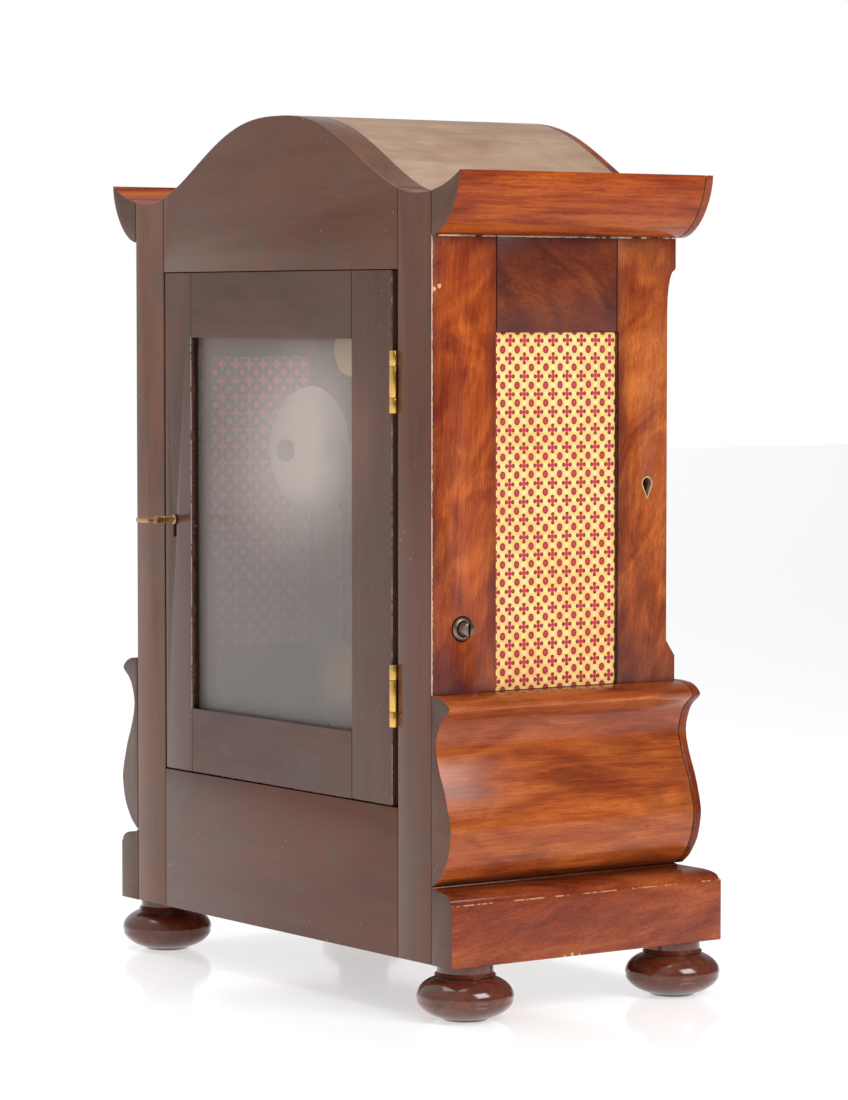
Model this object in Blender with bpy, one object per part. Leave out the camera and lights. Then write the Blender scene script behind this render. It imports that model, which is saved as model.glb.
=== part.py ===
"""Mantel clock: mahogany case with a serpentine roof, glazed doors front and back, cloth side panels,
ogee base on bun feet, and a two-train pendulum movement striking on a bell.

World frame: +X to the right seen from the front, -Y towards the front (the dial), +Z up, floor at z = 0,
origin under the middle of the overall box. Depths are measured from the back of the case forwards and
turned into Y by y_at(). Left and right are those of a person looking at the dial.
"""
import math

import bmesh
import bpy
from mathutils import Vector

MM = 0.001

# ---- Driving sizes --------------------------------------------------------------------------------
CASE_W = 295 * MM            # between the outer faces of the sides
CASE_D = 163 * MM            # back face to the front of the posts
FOOT_H = 30 * MM
PLINTH_H = 33 * MM
CAP_H = 8.5 * MM             # rounded cap on the plinth
OGEE_H = 100.5 * MM          # base moulding
BODY_H = 240.7 * MM          # base moulding to cornice
EAVES_H = 33.3 * MM          # cornice moulding
CROWN_H = 34 * MM            # roof crown above the cornice tips

GAP = 0.3 * MM               # glue line, or the play between touching pieces
POST_W = 30.5 * MM           # corner posts, across
BACK_POST_D = 42.3 * MM
FRONT_POST_D = 40 * MM
BACK_FRAME_T = 18 * MM
SIDE_T = 16 * MM             # side rails
SIDE_RAIL_H = 50.7 * MM      # from the cornice down to the cloth
BOARD_T = 12 * MM
ROOF_T = 6 * MM
FASCIA_T = 5 * MM            # thin shaped boards that cover the moulding ends at the front
SILL_H = 80 * MM             # bottom rail of the back
HEAD_DROP = 17.5 * MM        # cornice down to the top of the back door

CORNICE_OUT = 25.5 * MM
CORNICE_FULLNESS = 1.75      # exponent of the ovolo's superellipse
VALLEY_IN = 13 * MM          # roof valley inside the case wall
VALLEY_DROP = 11 * MM
EAVES_CURL = 2.3
CROWN_SHARPNESS = 1.26
PLINTH_OUT = 18.5 * MM

FOOT_R = 26 * MM
FOOT_NECK_R = 15 * MM
FOOT_NECK_H = 5 * MM
FOOT_X_OUT = 1.8 * MM        # foot centre outside the case wall
FOOT_BACK_D = 20.8 * MM
FOOT_FRONT_IN = 2.3 * MM     # front foot centre behind the front of the posts

POST_RECESS = 5.8 * MM       # front face of the posts between capital and base
CAPITAL_H = 40 * MM
CAPITAL_BLOCK_H = 17.5 * MM
BASE_BLOCK_H = 13.5 * MM
BASE_SLOPE_H = 8.5 * MM

CLOTH_T = 3 * MM
CLOTH_IN = 1.6 * MM          # cloth behind the outer face

# back door
DOOR_T = 16 * MM
DOOR_LOCK_STILE = 28 * MM
DOOR_HINGE_STILE = 37.7 * MM
DOOR_RAIL = 36.5 * MM
DOOR_PLAY = 1.0 * MM
HINGE_GAP = 5.4 * MM
LIP_T = 5 * MM               # wood in front of the glass
REBATE = 4 * MM
GLASS_T = 2.5 * MM
KNUCKLE_R = 2.4 * MM
HINGE_PIN_R = 0.8 * MM
HINGE_L = 33 * MM
LEAF_T = 1.1 * MM
HINGE_INSET = 59 * MM        # hinge centres from the door's ends
HINGE_OUT = 0.6 * MM         # barrel axis behind the case back

LOCK_RISE = 143.7 * MM       # key above the door's lower edge
KEY_IN = 10.3 * MM           # key axis from the door's lock edge
KEY_REACH = 23.7 * MM        # key out of the back
KEY_R = 2.1 * MM
BOW_W = 19 * MM
BOW_T = 2.2 * MM
BOW_BAR = 3.4 * MM
LOCK_W = 17 * MM
LOCK_H = 38 * MM
LOCK_T = 7 * MM
BOLT_H = 12 * MM
BOLT_T = 3 * MM
BOLT_THROW = 5 * MM
KEYHOLE_W = 3.2 * MM
KEYHOLE_H = 13 * MM

# front door, dial and hands
FRONT_DOOR_T = 16 * MM
FRONT_STILE = 30 * MM
PIVOT_IN = 2 * MM            # door pivot from the door's edge
PIVOT_BACK = 1.5 * MM        # and behind its face
MASK_T = 6 * MM
MASK_BACK = 31 * MM          # mask's front face behind the front of the posts
DIAL_R = 76 * MM
DIAL_T = 1.7 * MM
CENTRE_RISE = 106.5 * MM     # dial centre above the base moulding
HAND_STEP = 1.6 * MM
HAND_T = 0.9 * MM
HOUR_L = 46 * MM
MINUTE_L = 66 * MM
ARBOR_R = 1.5 * MM
SHAFT_PLAY = 0.3 * MM
WIND_X = 30 * MM
WIND_DROP = 17 * MM
WIND_R = 2.4 * MM
WIND_HOLE_R = 4.5 * MM

# movement
PLATE_W = 112 * MM
PLATE_TOP = 57 * MM          # above the hand arbor
PLATE_BOTTOM = 60 * MM
PLATE_T = 3 * MM
PLATE_GAP = 39 * MM
PLATE_TO_MASK = 15 * MM
PILLAR_R = 4 * MM
PILLAR_IN = 9 * MM
BARREL_R = 21 * MM
BARREL_L = 26 * MM
BARREL_WHEEL_R = 24 * MM
BARREL_WHEEL_T = 2.5 * MM
CENTRE_WHEEL_R = 12.5 * MM

BELL_R = 35.5 * MM
BELL_DEPTH = 17 * MM
BELL_WALL = 2 * MM
BELL_X = 12 * MM
BELL_RISE = 17.5 * MM        # bell centre above the hand arbor
BELL_TO_ROD = 10 * MM        # bell rim to the plane of the pendulum
NUT_R = 6 * MM
NUT_T = 4 * MM
BELL_POST_R = 2.6 * MM

ROD_TO_PLATE = 23 * MM       # pendulum plane to the back plate
ROD_R = 1.2 * MM
PENDULUM_L = 178 * MM
BOB_R = 25 * MM
BOB_T = 9 * MM
PENDULUM_TOP = 64 * MM       # suspension above the hand arbor
CRUTCH_L = 45 * MM

HAMMER_DX = 46 * MM          # hammer pivot left of the bell centre
HAMMER_DROP = 52 * MM
HAMMER_HEAD_R = 4 * MM
HAMMER_HEAD_L = 9 * MM
HAMMER_CLEAR = 2 * MM

# side fittings
STUD_D = 20.2 * MM
STUD_RISE = 34.2 * MM        # above the base moulding
STUD_R = 3.8 * MM
STUD_OUT = 6.5 * MM
STUD_L = 40 * MM
BUSH_R = 6.3 * MM
BUSH_L = 6 * MM
BUSH_OUT = 1.3 * MM
SIDE_KEY_BACK = 13.5 * MM    # side keyhole behind the recessed front face
SIDE_KEY_RISE = 108 * MM
SIDE_KEY_R = 3 * MM
SIDE_KEY_DROP = 7.5 * MM     # round part's centre to the point
LINER_T = 1 * MM
LINER_L = 4 * MM
SIDE_BOLT_W = 4 * MM
SIDE_BOLT_H = 14 * MM
SIDE_BOLT_L = 12 * MM

# ---- Places worked out from the sizes -------------------------------------------------------------
HALF = CASE_W / 2
POST_X = HALF - POST_W
PLINTH_Z = FOOT_H
CAP_Z = PLINTH_Z + PLINTH_H
OGEE_Z = CAP_Z + CAP_H
BODY_Z = OGEE_Z + OGEE_H
CORNICE_Z = BODY_Z + BODY_H
EAVES_Z = CORNICE_Z + EAVES_H
CROWN_Z = EAVES_Z + CROWN_H
VALLEY_Z = EAVES_Z - VALLEY_DROP
VALLEY_X = HALF - VALLEY_IN
TIP_X = HALF + CORNICE_OUT
FRONT_POST_BACK = CASE_D - FRONT_POST_D
POST_FACE = CASE_D - POST_RECESS
FRONT_FOOT_D = CASE_D - FOOT_FRONT_IN
BACK_Y = (FRONT_FOOT_D + FOOT_R - KEY_REACH) / 2
SILL_Z = PLINTH_Z + SILL_H
HEAD_Z = CORNICE_Z - HEAD_DROP
CLOTH_TOP = CORNICE_Z - SIDE_RAIL_H

DOOR_LEFT = POST_X - DOOR_PLAY           # lock edge, +X side
DOOR_RIGHT = -POST_X + HINGE_GAP         # hinge edge, -X side
DOOR_LOW = SILL_Z + DOOR_PLAY / 2
DOOR_HIGH = HEAD_Z - DOOR_PLAY / 2
SIGHT_LEFT = DOOR_LEFT - DOOR_LOCK_STILE
SIGHT_RIGHT = DOOR_RIGHT + DOOR_HINGE_STILE
SIGHT_LOW = DOOR_LOW + DOOR_RAIL
SIGHT_HIGH = DOOR_HIGH - DOOR_RAIL
HINGE_X = -POST_X + HINGE_GAP / 2
KEY_X = DOOR_LEFT - KEY_IN
KEY_Z = DOOR_LOW + LOCK_RISE

FRONT_LOW = BODY_Z + 1 * MM
FRONT_HIGH = CORNICE_Z - CAPITAL_H + BOARD_T
FRONT_HALF = POST_X - DOOR_PLAY
MASK_FRONT = CASE_D - MASK_BACK
CENTRE_Z = BODY_Z + CENTRE_RISE
WIND_Z = CENTRE_Z - WIND_DROP
FRONT_PLATE_D = MASK_FRONT - MASK_T - PLATE_TO_MASK      # its front face
BACK_PLATE_D = FRONT_PLATE_D - PLATE_T - PLATE_GAP       # its front face
ROD_D = BACK_PLATE_D - PLATE_T - ROD_TO_PLATE
BELL_RIM_D = ROD_D - BELL_TO_ROD
BELL_Z = CENTRE_Z + BELL_RISE
PIVOT_Z = CENTRE_Z + PENDULUM_TOP

MATERIALS = {
    "mahogany_side": ((0.36, 0.09, 0.03), 0.25, 0.0),
    "mahogany_back": ((0.16, 0.09, 0.065), 0.45, 0.0),
    "mahogany_foot": ((0.10, 0.02, 0.012), 0.2, 0.0),
    "cloth": ((0.80, 0.55, 0.20), 0.9, 0.0),
    "brass": ((0.72, 0.50, 0.20), 0.3, 1.0),
    "steel": ((0.25, 0.22, 0.20), 0.4, 1.0),
    "bell_metal": ((0.70, 0.66, 0.58), 0.35, 1.0),
    "glass": ((0.75, 0.78, 0.76), 0.08, 0.0),
    "enamel": ((0.90, 0.89, 0.84), 0.3, 0.0),
}


# ---- Helpers --------------------------------------------------------------------------------------
def y_at(depth):
    """World Y of a depth measured forwards from the back of the case."""
    return BACK_Y - depth


def material(name):
    """The named Principled material, made on first use."""
    found = bpy.data.materials.get(name)
    if found:
        return found
    colour, roughness, metallic = MATERIALS[name]
    made = bpy.data.materials.new(name)
    made.use_nodes = True
    shader = made.node_tree.nodes["Principled BSDF"]
    shader.inputs["Base Color"].default_value = (*colour, 1.0)
    shader.inputs["Roughness"].default_value = roughness
    shader.inputs["Metallic"].default_value = metallic
    return made


def add_object(name, mesh_builder, finish):
    """Turn a bmesh with its faces made consistent into a named object."""
    bmesh.ops.recalc_face_normals(mesh_builder, faces=mesh_builder.faces)
    mesh = bpy.data.meshes.new(name)
    mesh_builder.to_mesh(mesh)
    mesh_builder.free()
    mesh.materials.append(material(finish))
    made = bpy.data.objects.new(name, mesh)
    bpy.context.collection.objects.link(made)
    return made


def prism(name, outline, along, low, high, finish):
    """Extrude a 2D outline. along "depth": (x, z) points; "x": (depth, z); "z": (x, depth)."""
    place = {
        "depth": lambda a, b, t: (a, y_at(t), b),
        "x": lambda a, b, t: (t, y_at(a), b),
        "z": lambda a, b, t: (a, y_at(b), t),
    }[along]
    builder = bmesh.new()
    face = builder.faces.new([builder.verts.new(place(a, b, low)) for a, b in outline])
    shift = Vector(place(0, 0, high)) - Vector(place(0, 0, low))
    lid = bmesh.ops.extrude_face_region(builder, geom=[face])
    raised = [item for item in lid["geom"] if isinstance(item, bmesh.types.BMVert)]
    bmesh.ops.translate(builder, verts=raised, vec=shift)
    return add_object(name, builder, finish)


def blocks(name, solids, finish, cuts=()):
    """One closed body from boxes (x0, x1, depth0, depth1, z0, z1) added together, less other boxes."""
    boxes = list(solids) + list(cuts)
    grid = [sorted({box[2 * i] for box in boxes} | {box[2 * i + 1] for box in boxes}) for i in range(3)]

    def inside(cell, group):
        middle = [(grid[i][cell[i]] + grid[i][cell[i] + 1]) / 2 for i in range(3)]
        return any(all(box[2 * i] < middle[i] < box[2 * i + 1] for i in range(3)) for box in group)

    def filled(cell):
        if any(not 0 <= cell[i] < len(grid[i]) - 1 for i in range(3)):
            return False
        return inside(cell, solids) and not inside(cell, cuts)

    builder = bmesh.new()
    corner = {}

    def vertex(i, j, k):
        if (i, j, k) not in corner:
            corner[i, j, k] = builder.verts.new((grid[0][i], y_at(grid[1][j]), grid[2][k]))
        return corner[i, j, k]

    spans = [range(len(axis) - 1) for axis in grid]
    for cell in ((i, j, k) for i in spans[0] for j in spans[1] for k in spans[2]):
        if not filled(cell):
            continue
        for axis in range(3):
            for side in (0, 1):
                beyond = list(cell)
                beyond[axis] += 2 * side - 1
                if filled(beyond):
                    continue
                ring = []
                for first, second in ((0, 0), (1, 0), (1, 1), (0, 1)):
                    point = list(cell)
                    point[axis] += side
                    point[(axis + 1) % 3] += first
                    point[(axis + 2) % 3] += second
                    ring.append(vertex(*point))
                builder.faces.new(ring)
    bmesh.ops.recalc_face_normals(builder, faces=builder.faces)
    bmesh.ops.dissolve_limit(builder, angle_limit=0.01, verts=builder.verts, edges=builder.edges)
    return add_object(name, builder, finish)


def turned(name, profile, centre, axis, finish, sides=32):
    """Revolve (radius, distance) points about an axis through centre; the ends are closed on the axis."""
    frame = {
        "x": (Vector((1, 0, 0)), Vector((0, 1, 0)), Vector((0, 0, 1))),
        "depth": (Vector((0, -1, 0)), Vector((1, 0, 0)), Vector((0, 0, 1))),
        "z": (Vector((0, 0, 1)), Vector((1, 0, 0)), Vector((0, 1, 0))),
    }[axis]
    along, first, second = frame
    middle = Vector((centre[0], y_at(centre[1]), centre[2]))
    builder = bmesh.new()
    rings = []
    for radius, distance in profile:
        base = middle + along * distance
        if radius < 1e-7:
            rings.append([builder.verts.new(base)])
            continue
        angles = [2 * math.pi * step / sides for step in range(sides)]
        rings.append([builder.verts.new(base + first * radius * math.cos(a) + second * radius * math.sin(a))
                      for a in angles])
    closed = profile[0] == profile[-1]
    if closed:
        for unused in rings.pop():
            builder.verts.remove(unused)
        rings.append(rings[0])
    for lower, upper in zip(rings, rings[1:]):
        for step in range(sides):
            following = (step + 1) % sides
            corners = [lower[step % len(lower)], lower[following % len(lower)],
                       upper[following % len(upper)], upper[step % len(upper)]]
            builder.faces.new(list(dict.fromkeys(corners)))
    made = add_object(name, builder, finish)
    made.data.shade_smooth()
    made.data.set_sharp_from_angle(angle=math.radians(35))
    return made


def rod(name, radius, centre, axis, low, high, finish, sides=16):
    """A plain cylinder between two distances from centre along an axis."""
    return turned(name, [(0, low), (radius, low), (radius, high), (0, high)], centre, axis, finish, sides)


def combine(target, tool, operation):
    """Join a tool to the target, or cut it away; the tool stays as a hidden guide."""
    modifier = target.modifiers.new(tool.name, "BOOLEAN")
    modifier.operation = operation
    modifier.object = tool
    tool.hide_render = True
    tool.display_type = "WIRE"


def fuse(target, *tools):
    """Join the tools to the target."""
    for tool in tools:
        combine(target, tool, "UNION")
    return target


def cut(target, *tools):
    """Cut the tools out of the target."""
    for tool in tools:
        combine(target, tool, "DIFFERENCE")
    return target


def sweep_smooth(points, steps):
    """Points along a Catmull-Rom curve through the given ones, steps to each stretch."""
    padded = [points[0]] + list(points) + [points[-1]]
    result = []
    for before, start, end, after in zip(padded, padded[1:], padded[2:], padded[3:]):
        for step in range(steps):
            t = step / steps
            result.append(tuple(
                0.5 * (2 * b + (c - a) * t + (2 * a - 5 * b + 4 * c - d) * t ** 2 +
                       (3 * b - a - 3 * c + d) * t ** 3)
                for a, b, c, d in zip(before, start, end, after)))
    return result + [points[-1]]


def moulding(name, section, side, finish, start=0.0, end=CASE_D, mitre=False):
    """A side moulding: (projection, z) section run from the back; a mitre follows the projection."""
    builder = bmesh.new()
    rings = []
    for out, z in section:
        reach = end + (out if mitre else 0)
        rings.append([builder.verts.new((side * (HALF + out), y_at(start), z)),
                      builder.verts.new((side * (HALF + out), y_at(reach), z))])
    for this, following in zip(rings, rings[1:] + rings[:1]):
        builder.faces.new([this[0], following[0], following[1], this[1]])
    builder.faces.new([ring[0] for ring in rings])
    builder.faces.new([ring[1] for ring in reversed(rings)])
    return add_object(name, builder, finish)


def mount_on(pivot_name, place, *pieces):
    """Parent pieces to an empty on their joint's axis, leaving them where they are."""
    pivot = bpy.data.objects.new(pivot_name, None)
    pivot.location = place
    bpy.context.collection.objects.link(pivot)
    for piece in pieces:
        piece.parent = pivot
        piece.location = -Vector(place)


# ---- Profiles -------------------------------------------------------------------------------------
def roof_z(x):
    """Height of the roof's top surface: a crown between two valleys, curling up to the tips."""
    reach = abs(x)
    if reach <= VALLEY_X:
        swell = (1 + math.cos(math.pi * (reach / VALLEY_X) ** CROWN_SHARPNESS)) / 2
        return VALLEY_Z + (CROWN_Z - VALLEY_Z) * swell
    return VALLEY_Z + VALLEY_DROP * ((reach - VALLEY_X) / (TIP_X - VALLEY_X)) ** EAVES_CURL


def roof_line(low, high, steps, drop=0.0):
    """Points along the roof from x = low to x = high, dropped by a thickness."""
    xs = [low + (high - low) * step / steps for step in range(steps + 1)]
    return [(x, roof_z(x) - drop) for x in xs]


def ovolo(steps=10):
    """Cornice section from the wall out to the tip: (projection, z)."""
    points = []
    for step in range(steps + 1):
        angle = math.pi / 2 * step / steps
        out = CORNICE_OUT * math.sin(angle) ** (2 / CORNICE_FULLNESS)
        drop = EAVES_H * math.cos(angle) ** (2 / CORNICE_FULLNESS)
        points.append((max(out, GAP), EAVES_Z - drop))
    return points


def ogee(steps=3):
    """Base moulding section from its foot up to the lip: (projection, z). The knots are in millimetres."""
    knots = [(1.2, 0.0), (4.2, 2.2), (8.2, 5.7), (14.0, 14.5), (16.8, 25.0), (16.9, 33.0), (12.4, 48.5),
             (6.6, 62.0), (3.9, 73.5), (6.3, 83.0), (9.4, 87.8), (12.4, 90.3)]
    lip = [(12.4, 90.3), (16.0, 93.2), (15.2, 95.6), (11.6, 98.3), (7.2, 99.8), (GAP / MM, 100.5)]
    curve = sweep_smooth(knots, steps)[:-1] + sweep_smooth(lip, 2)
    return [(out * MM, OGEE_Z + GAP + (OGEE_H - GAP) * z / lip[-1][1]) for out, z in curve]


def plinth_section():
    """Plinth block with its rounded cap: (projection, z)."""
    round_r = PLINTH_OUT - 7 * MM
    cap = []
    for step in range(7):
        angle = math.pi / 2 * step / 6
        cap.append((PLINTH_OUT - 1 * MM - round_r * (1 - math.cos(angle)),
                    CAP_Z + 1 * MM + (CAP_H - 3 * MM) * math.sin(angle)))
    return [(GAP, PLINTH_Z), (PLINTH_OUT, PLINTH_Z), (PLINTH_OUT, CAP_Z)] + cap + [
        (1.5 * MM, OGEE_Z - 1 * MM), (1.2 * MM, OGEE_Z), (GAP, OGEE_Z)]


# ---- Case -----------------------------------------------------------------------------------------
def build_posts():
    """Four corner posts; the back pair carries the door and runs up to the roof."""
    key_pocket = (POST_X - GAP, POST_X + BOLT_THROW + 1 * MM,
                  DOOR_T - LOCK_T - GAP, DOOR_T - LOCK_T + BOLT_T + 2 * GAP,
                  KEY_Z - BOLT_H / 2 - GAP, KEY_Z + BOLT_H / 2 + GAP)
    for side, word in ((1, "left"), (-1, "right")):
        inner, outer = sorted((side * POST_X, side * HALF))
        top = roof_line(inner, outer, 8)
        outline = [(inner, PLINTH_Z), (outer, PLINTH_Z)] + top[::-1]
        name = f"back_post_{word}"
        post = prism(name, outline, "depth", 0, BACK_FRAME_T, "mahogany_back")
        shank = blocks(f"guide_{name}",
                       [(inner, outer, BACK_FRAME_T - 5 * MM, BACK_POST_D, PLINTH_Z, CORNICE_Z)],
                       "mahogany_side")
        fuse(post, shank)
        if side > 0:
            cut(post, blocks("guide_bolt_pocket", [key_pocket], "steel"))
        else:
            stud_z = BODY_Z + STUD_RISE
            bore = turned("guide_stud_bore",
                          [(0, -HALF - 1 * MM), (BUSH_R + GAP, -HALF - 1 * MM),
                           (BUSH_R + GAP, -HALF + BUSH_L), (STUD_R + GAP, -HALF + BUSH_L),
                           (STUD_R + GAP, -POST_X + 1 * MM), (0, -POST_X + 1 * MM)],
                          (0, STUD_D, stud_z), "x", "steel", 24)
            cut(post, bore)
        build_front_post(side, word)


def build_front_post(side, word):
    """Front post with a hollowed capital and a base block in its front face."""
    inner, outer = sorted((side * POST_X, side * HALF))
    hollow = CAPITAL_H - CAPITAL_BLOCK_H
    capital = [(POST_FACE + POST_RECESS * (1 - math.cos(math.pi / 2 * step / 5)) * 0.85,
                CORNICE_Z - CAPITAL_H + hollow * math.sin(math.pi / 2 * step / 5)) for step in range(6)]
    base_top = BODY_Z + BASE_BLOCK_H
    outline = ([(FRONT_POST_BACK, PLINTH_Z), (CASE_D, PLINTH_Z), (CASE_D, base_top),
                (POST_FACE, base_top + BASE_SLOPE_H)] + capital +
               [(CASE_D, CORNICE_Z - CAPITAL_BLOCK_H + 1 * MM), (CASE_D, CORNICE_Z),
                (FRONT_POST_BACK, CORNICE_Z)])
    post = prism(f"front_post_{word}", outline, "x", inner, outer, "mahogany_side")
    if side < 0:
        key_d, key_z = POST_FACE - SIDE_KEY_BACK, BODY_Z + SIDE_KEY_RISE
        hole = prism("guide_side_keyhole", teardrop(key_d, key_z, SIDE_KEY_R + LINER_T + GAP / 2), "x",
                     -HALF - 1 * MM, -HALF + LINER_L, "steel")
        pocket = blocks("guide_side_bolt_pocket",
                        [(-HALF + LINER_L - 1 * MM, -POST_X + 1 * MM, key_d - SIDE_BOLT_W / 2 - GAP,
                          key_d + SIDE_BOLT_W / 2 + GAP, key_z - SIDE_BOLT_H / 2 - GAP,
                          key_z + SIDE_BOLT_H / 2 + GAP)], "steel")
        cut(post, hole, pocket)


def teardrop(depth, z, radius, sides=16):
    """Round hole drawn down to a point: (depth, z) points."""
    drop = SIDE_KEY_DROP + (radius - SIDE_KEY_R) * 1.5
    lean = math.acos(radius / drop)
    start, sweep = -math.pi / 2 + lean, 2 * math.pi - 2 * lean
    points = [(depth + radius * math.cos(start + sweep * step / sides),
               z + radius * math.sin(start + sweep * step / sides)) for step in range(sides + 1)]
    return points + [(depth, z - drop)]


def build_back_and_sides():
    """Rails between the posts, the floor and the cloth panels."""
    run = POST_X - GAP
    gable = [(-run, HEAD_Z), (run, HEAD_Z)] + roof_line(-run, run, 40)[::-1]
    prism("back_gable", gable, "depth", 0, BACK_FRAME_T, "mahogany_back")
    blocks("back_bottom_rail", [(-run, run, 0, BACK_FRAME_T, PLINTH_Z, SILL_Z)], "mahogany_back")
    blocks("bottom_board", [(-run, run, BACK_FRAME_T + GAP, CASE_D, SILL_Z - BOARD_T, SILL_Z)],
           "mahogany_back")
    blocks("front_top_rail", [(-run, run, CASE_D - SIDE_T, CASE_D, FRONT_HIGH + DOOR_PLAY, CORNICE_Z)],
           "mahogany_side")
    near, far = BACK_POST_D + GAP, FRONT_POST_BACK - GAP
    for side, word in ((1, "left"), (-1, "right")):
        inner, outer = sorted((side * (HALF - SIDE_T), side * HALF))
        blocks(f"side_top_rail_{word}", [(inner, outer, near, far, CLOTH_TOP, CORNICE_Z)],
               "mahogany_side")
        blocks(f"side_lower_panel_{word}", [(inner, outer, near, far, PLINTH_Z, BODY_Z)],
               "mahogany_side")
        cloth = sorted((side * (HALF - CLOTH_IN - CLOTH_T), side * (HALF - CLOTH_IN)))
        blocks(f"cloth_panel_{word}", [(*cloth, near, far, BODY_Z + GAP, CLOTH_TOP - GAP)], "cloth")


def build_mouldings():
    """Cornice, base moulding and plinth down both sides, and the shaped boards across the front."""
    cornice = ovolo()
    roof_top = [(x - HALF, z) for x, z in roof_line(TIP_X, HALF + GAP, 8)][1:]
    base = ogee()
    base_section = base + [(GAP, OGEE_Z + GAP)]
    plinth = plinth_section()
    for side, word in ((1, "left"), (-1, "right")):
        moulding(f"cornice_{word}", cornice + roof_top, side, "mahogany_side")
        moulding(f"ogee_moulding_{word}", base_section, side, "mahogany_side")
        moulding(f"plinth_{word}", plinth, side, "mahogany_side", mitre=True)
    # front plinth: the same section, mitred at both ends
    builder = bmesh.new()
    rings = []
    for out, z in plinth:
        rings.append([builder.verts.new((end * (HALF + out - GAP), y_at(CASE_D + out), z)) for end in (-1, 1)])
    for this, following in zip(rings, rings[1:] + rings[:1]):
        builder.faces.new([this[0], following[0], following[1], this[1]])
    builder.faces.new([ring[0] for ring in rings])
    builder.faces.new([ring[1] for ring in reversed(rings)])
    add_object("plinth_front", builder, "mahogany_side")

    outline = [(-HALF - out, z) for out, z in base] + [(HALF + out, z) for out, z in base[::-1]]
    low, high = CASE_D + GAP, CASE_D + GAP + FASCIA_T
    prism("base_front_board", outline, "depth", low, high, "mahogany_side")
    left_edge = [(-HALF - out, z) for out, z in cornice]
    outline = left_edge[:-1] + roof_line(-TIP_X, TIP_X, 56)
    outline += [(-x, z) for x, z in left_edge[:-1]][::-1]
    prism("front_gable", outline, "depth", low, high, "mahogany_side")


def build_roof_and_feet():
    """Serpentine roof board between back and front gables, and four turned bun feet."""
    run = HALF - GAP
    top = roof_line(-run, run, 48)
    under = roof_line(-run, run, 48, ROOF_T)[::-1]
    prism("roof_board", top + under, "depth", BACK_FRAME_T + GAP, CASE_D, "mahogany_back")
    bun_h = FOOT_H - FOOT_NECK_H
    bun = [(FOOT_R * math.cos(angle) ** 0.8, bun_h / 2 * (1 + math.sin(angle)))
           for angle in (math.radians(a) for a in (-62, -45, -25, 0, 25, 45, 58))]
    for word_d, depth in (("back", FOOT_BACK_D), ("front", FRONT_FOOT_D)):
        for side, word in ((1, "left"), (-1, "right")):
            profile = [(0, 0), (bun[0][0] - 2 * MM, 0)] + bun + [
                (FOOT_NECK_R, bun_h), (FOOT_NECK_R, FOOT_H - GAP), (0, FOOT_H - GAP)]
            turned(f"foot_{word_d}_{word}", profile, (side * (HALF + FOOT_X_OUT), depth, 0), "z",
                   "mahogany_foot", 28)


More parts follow.
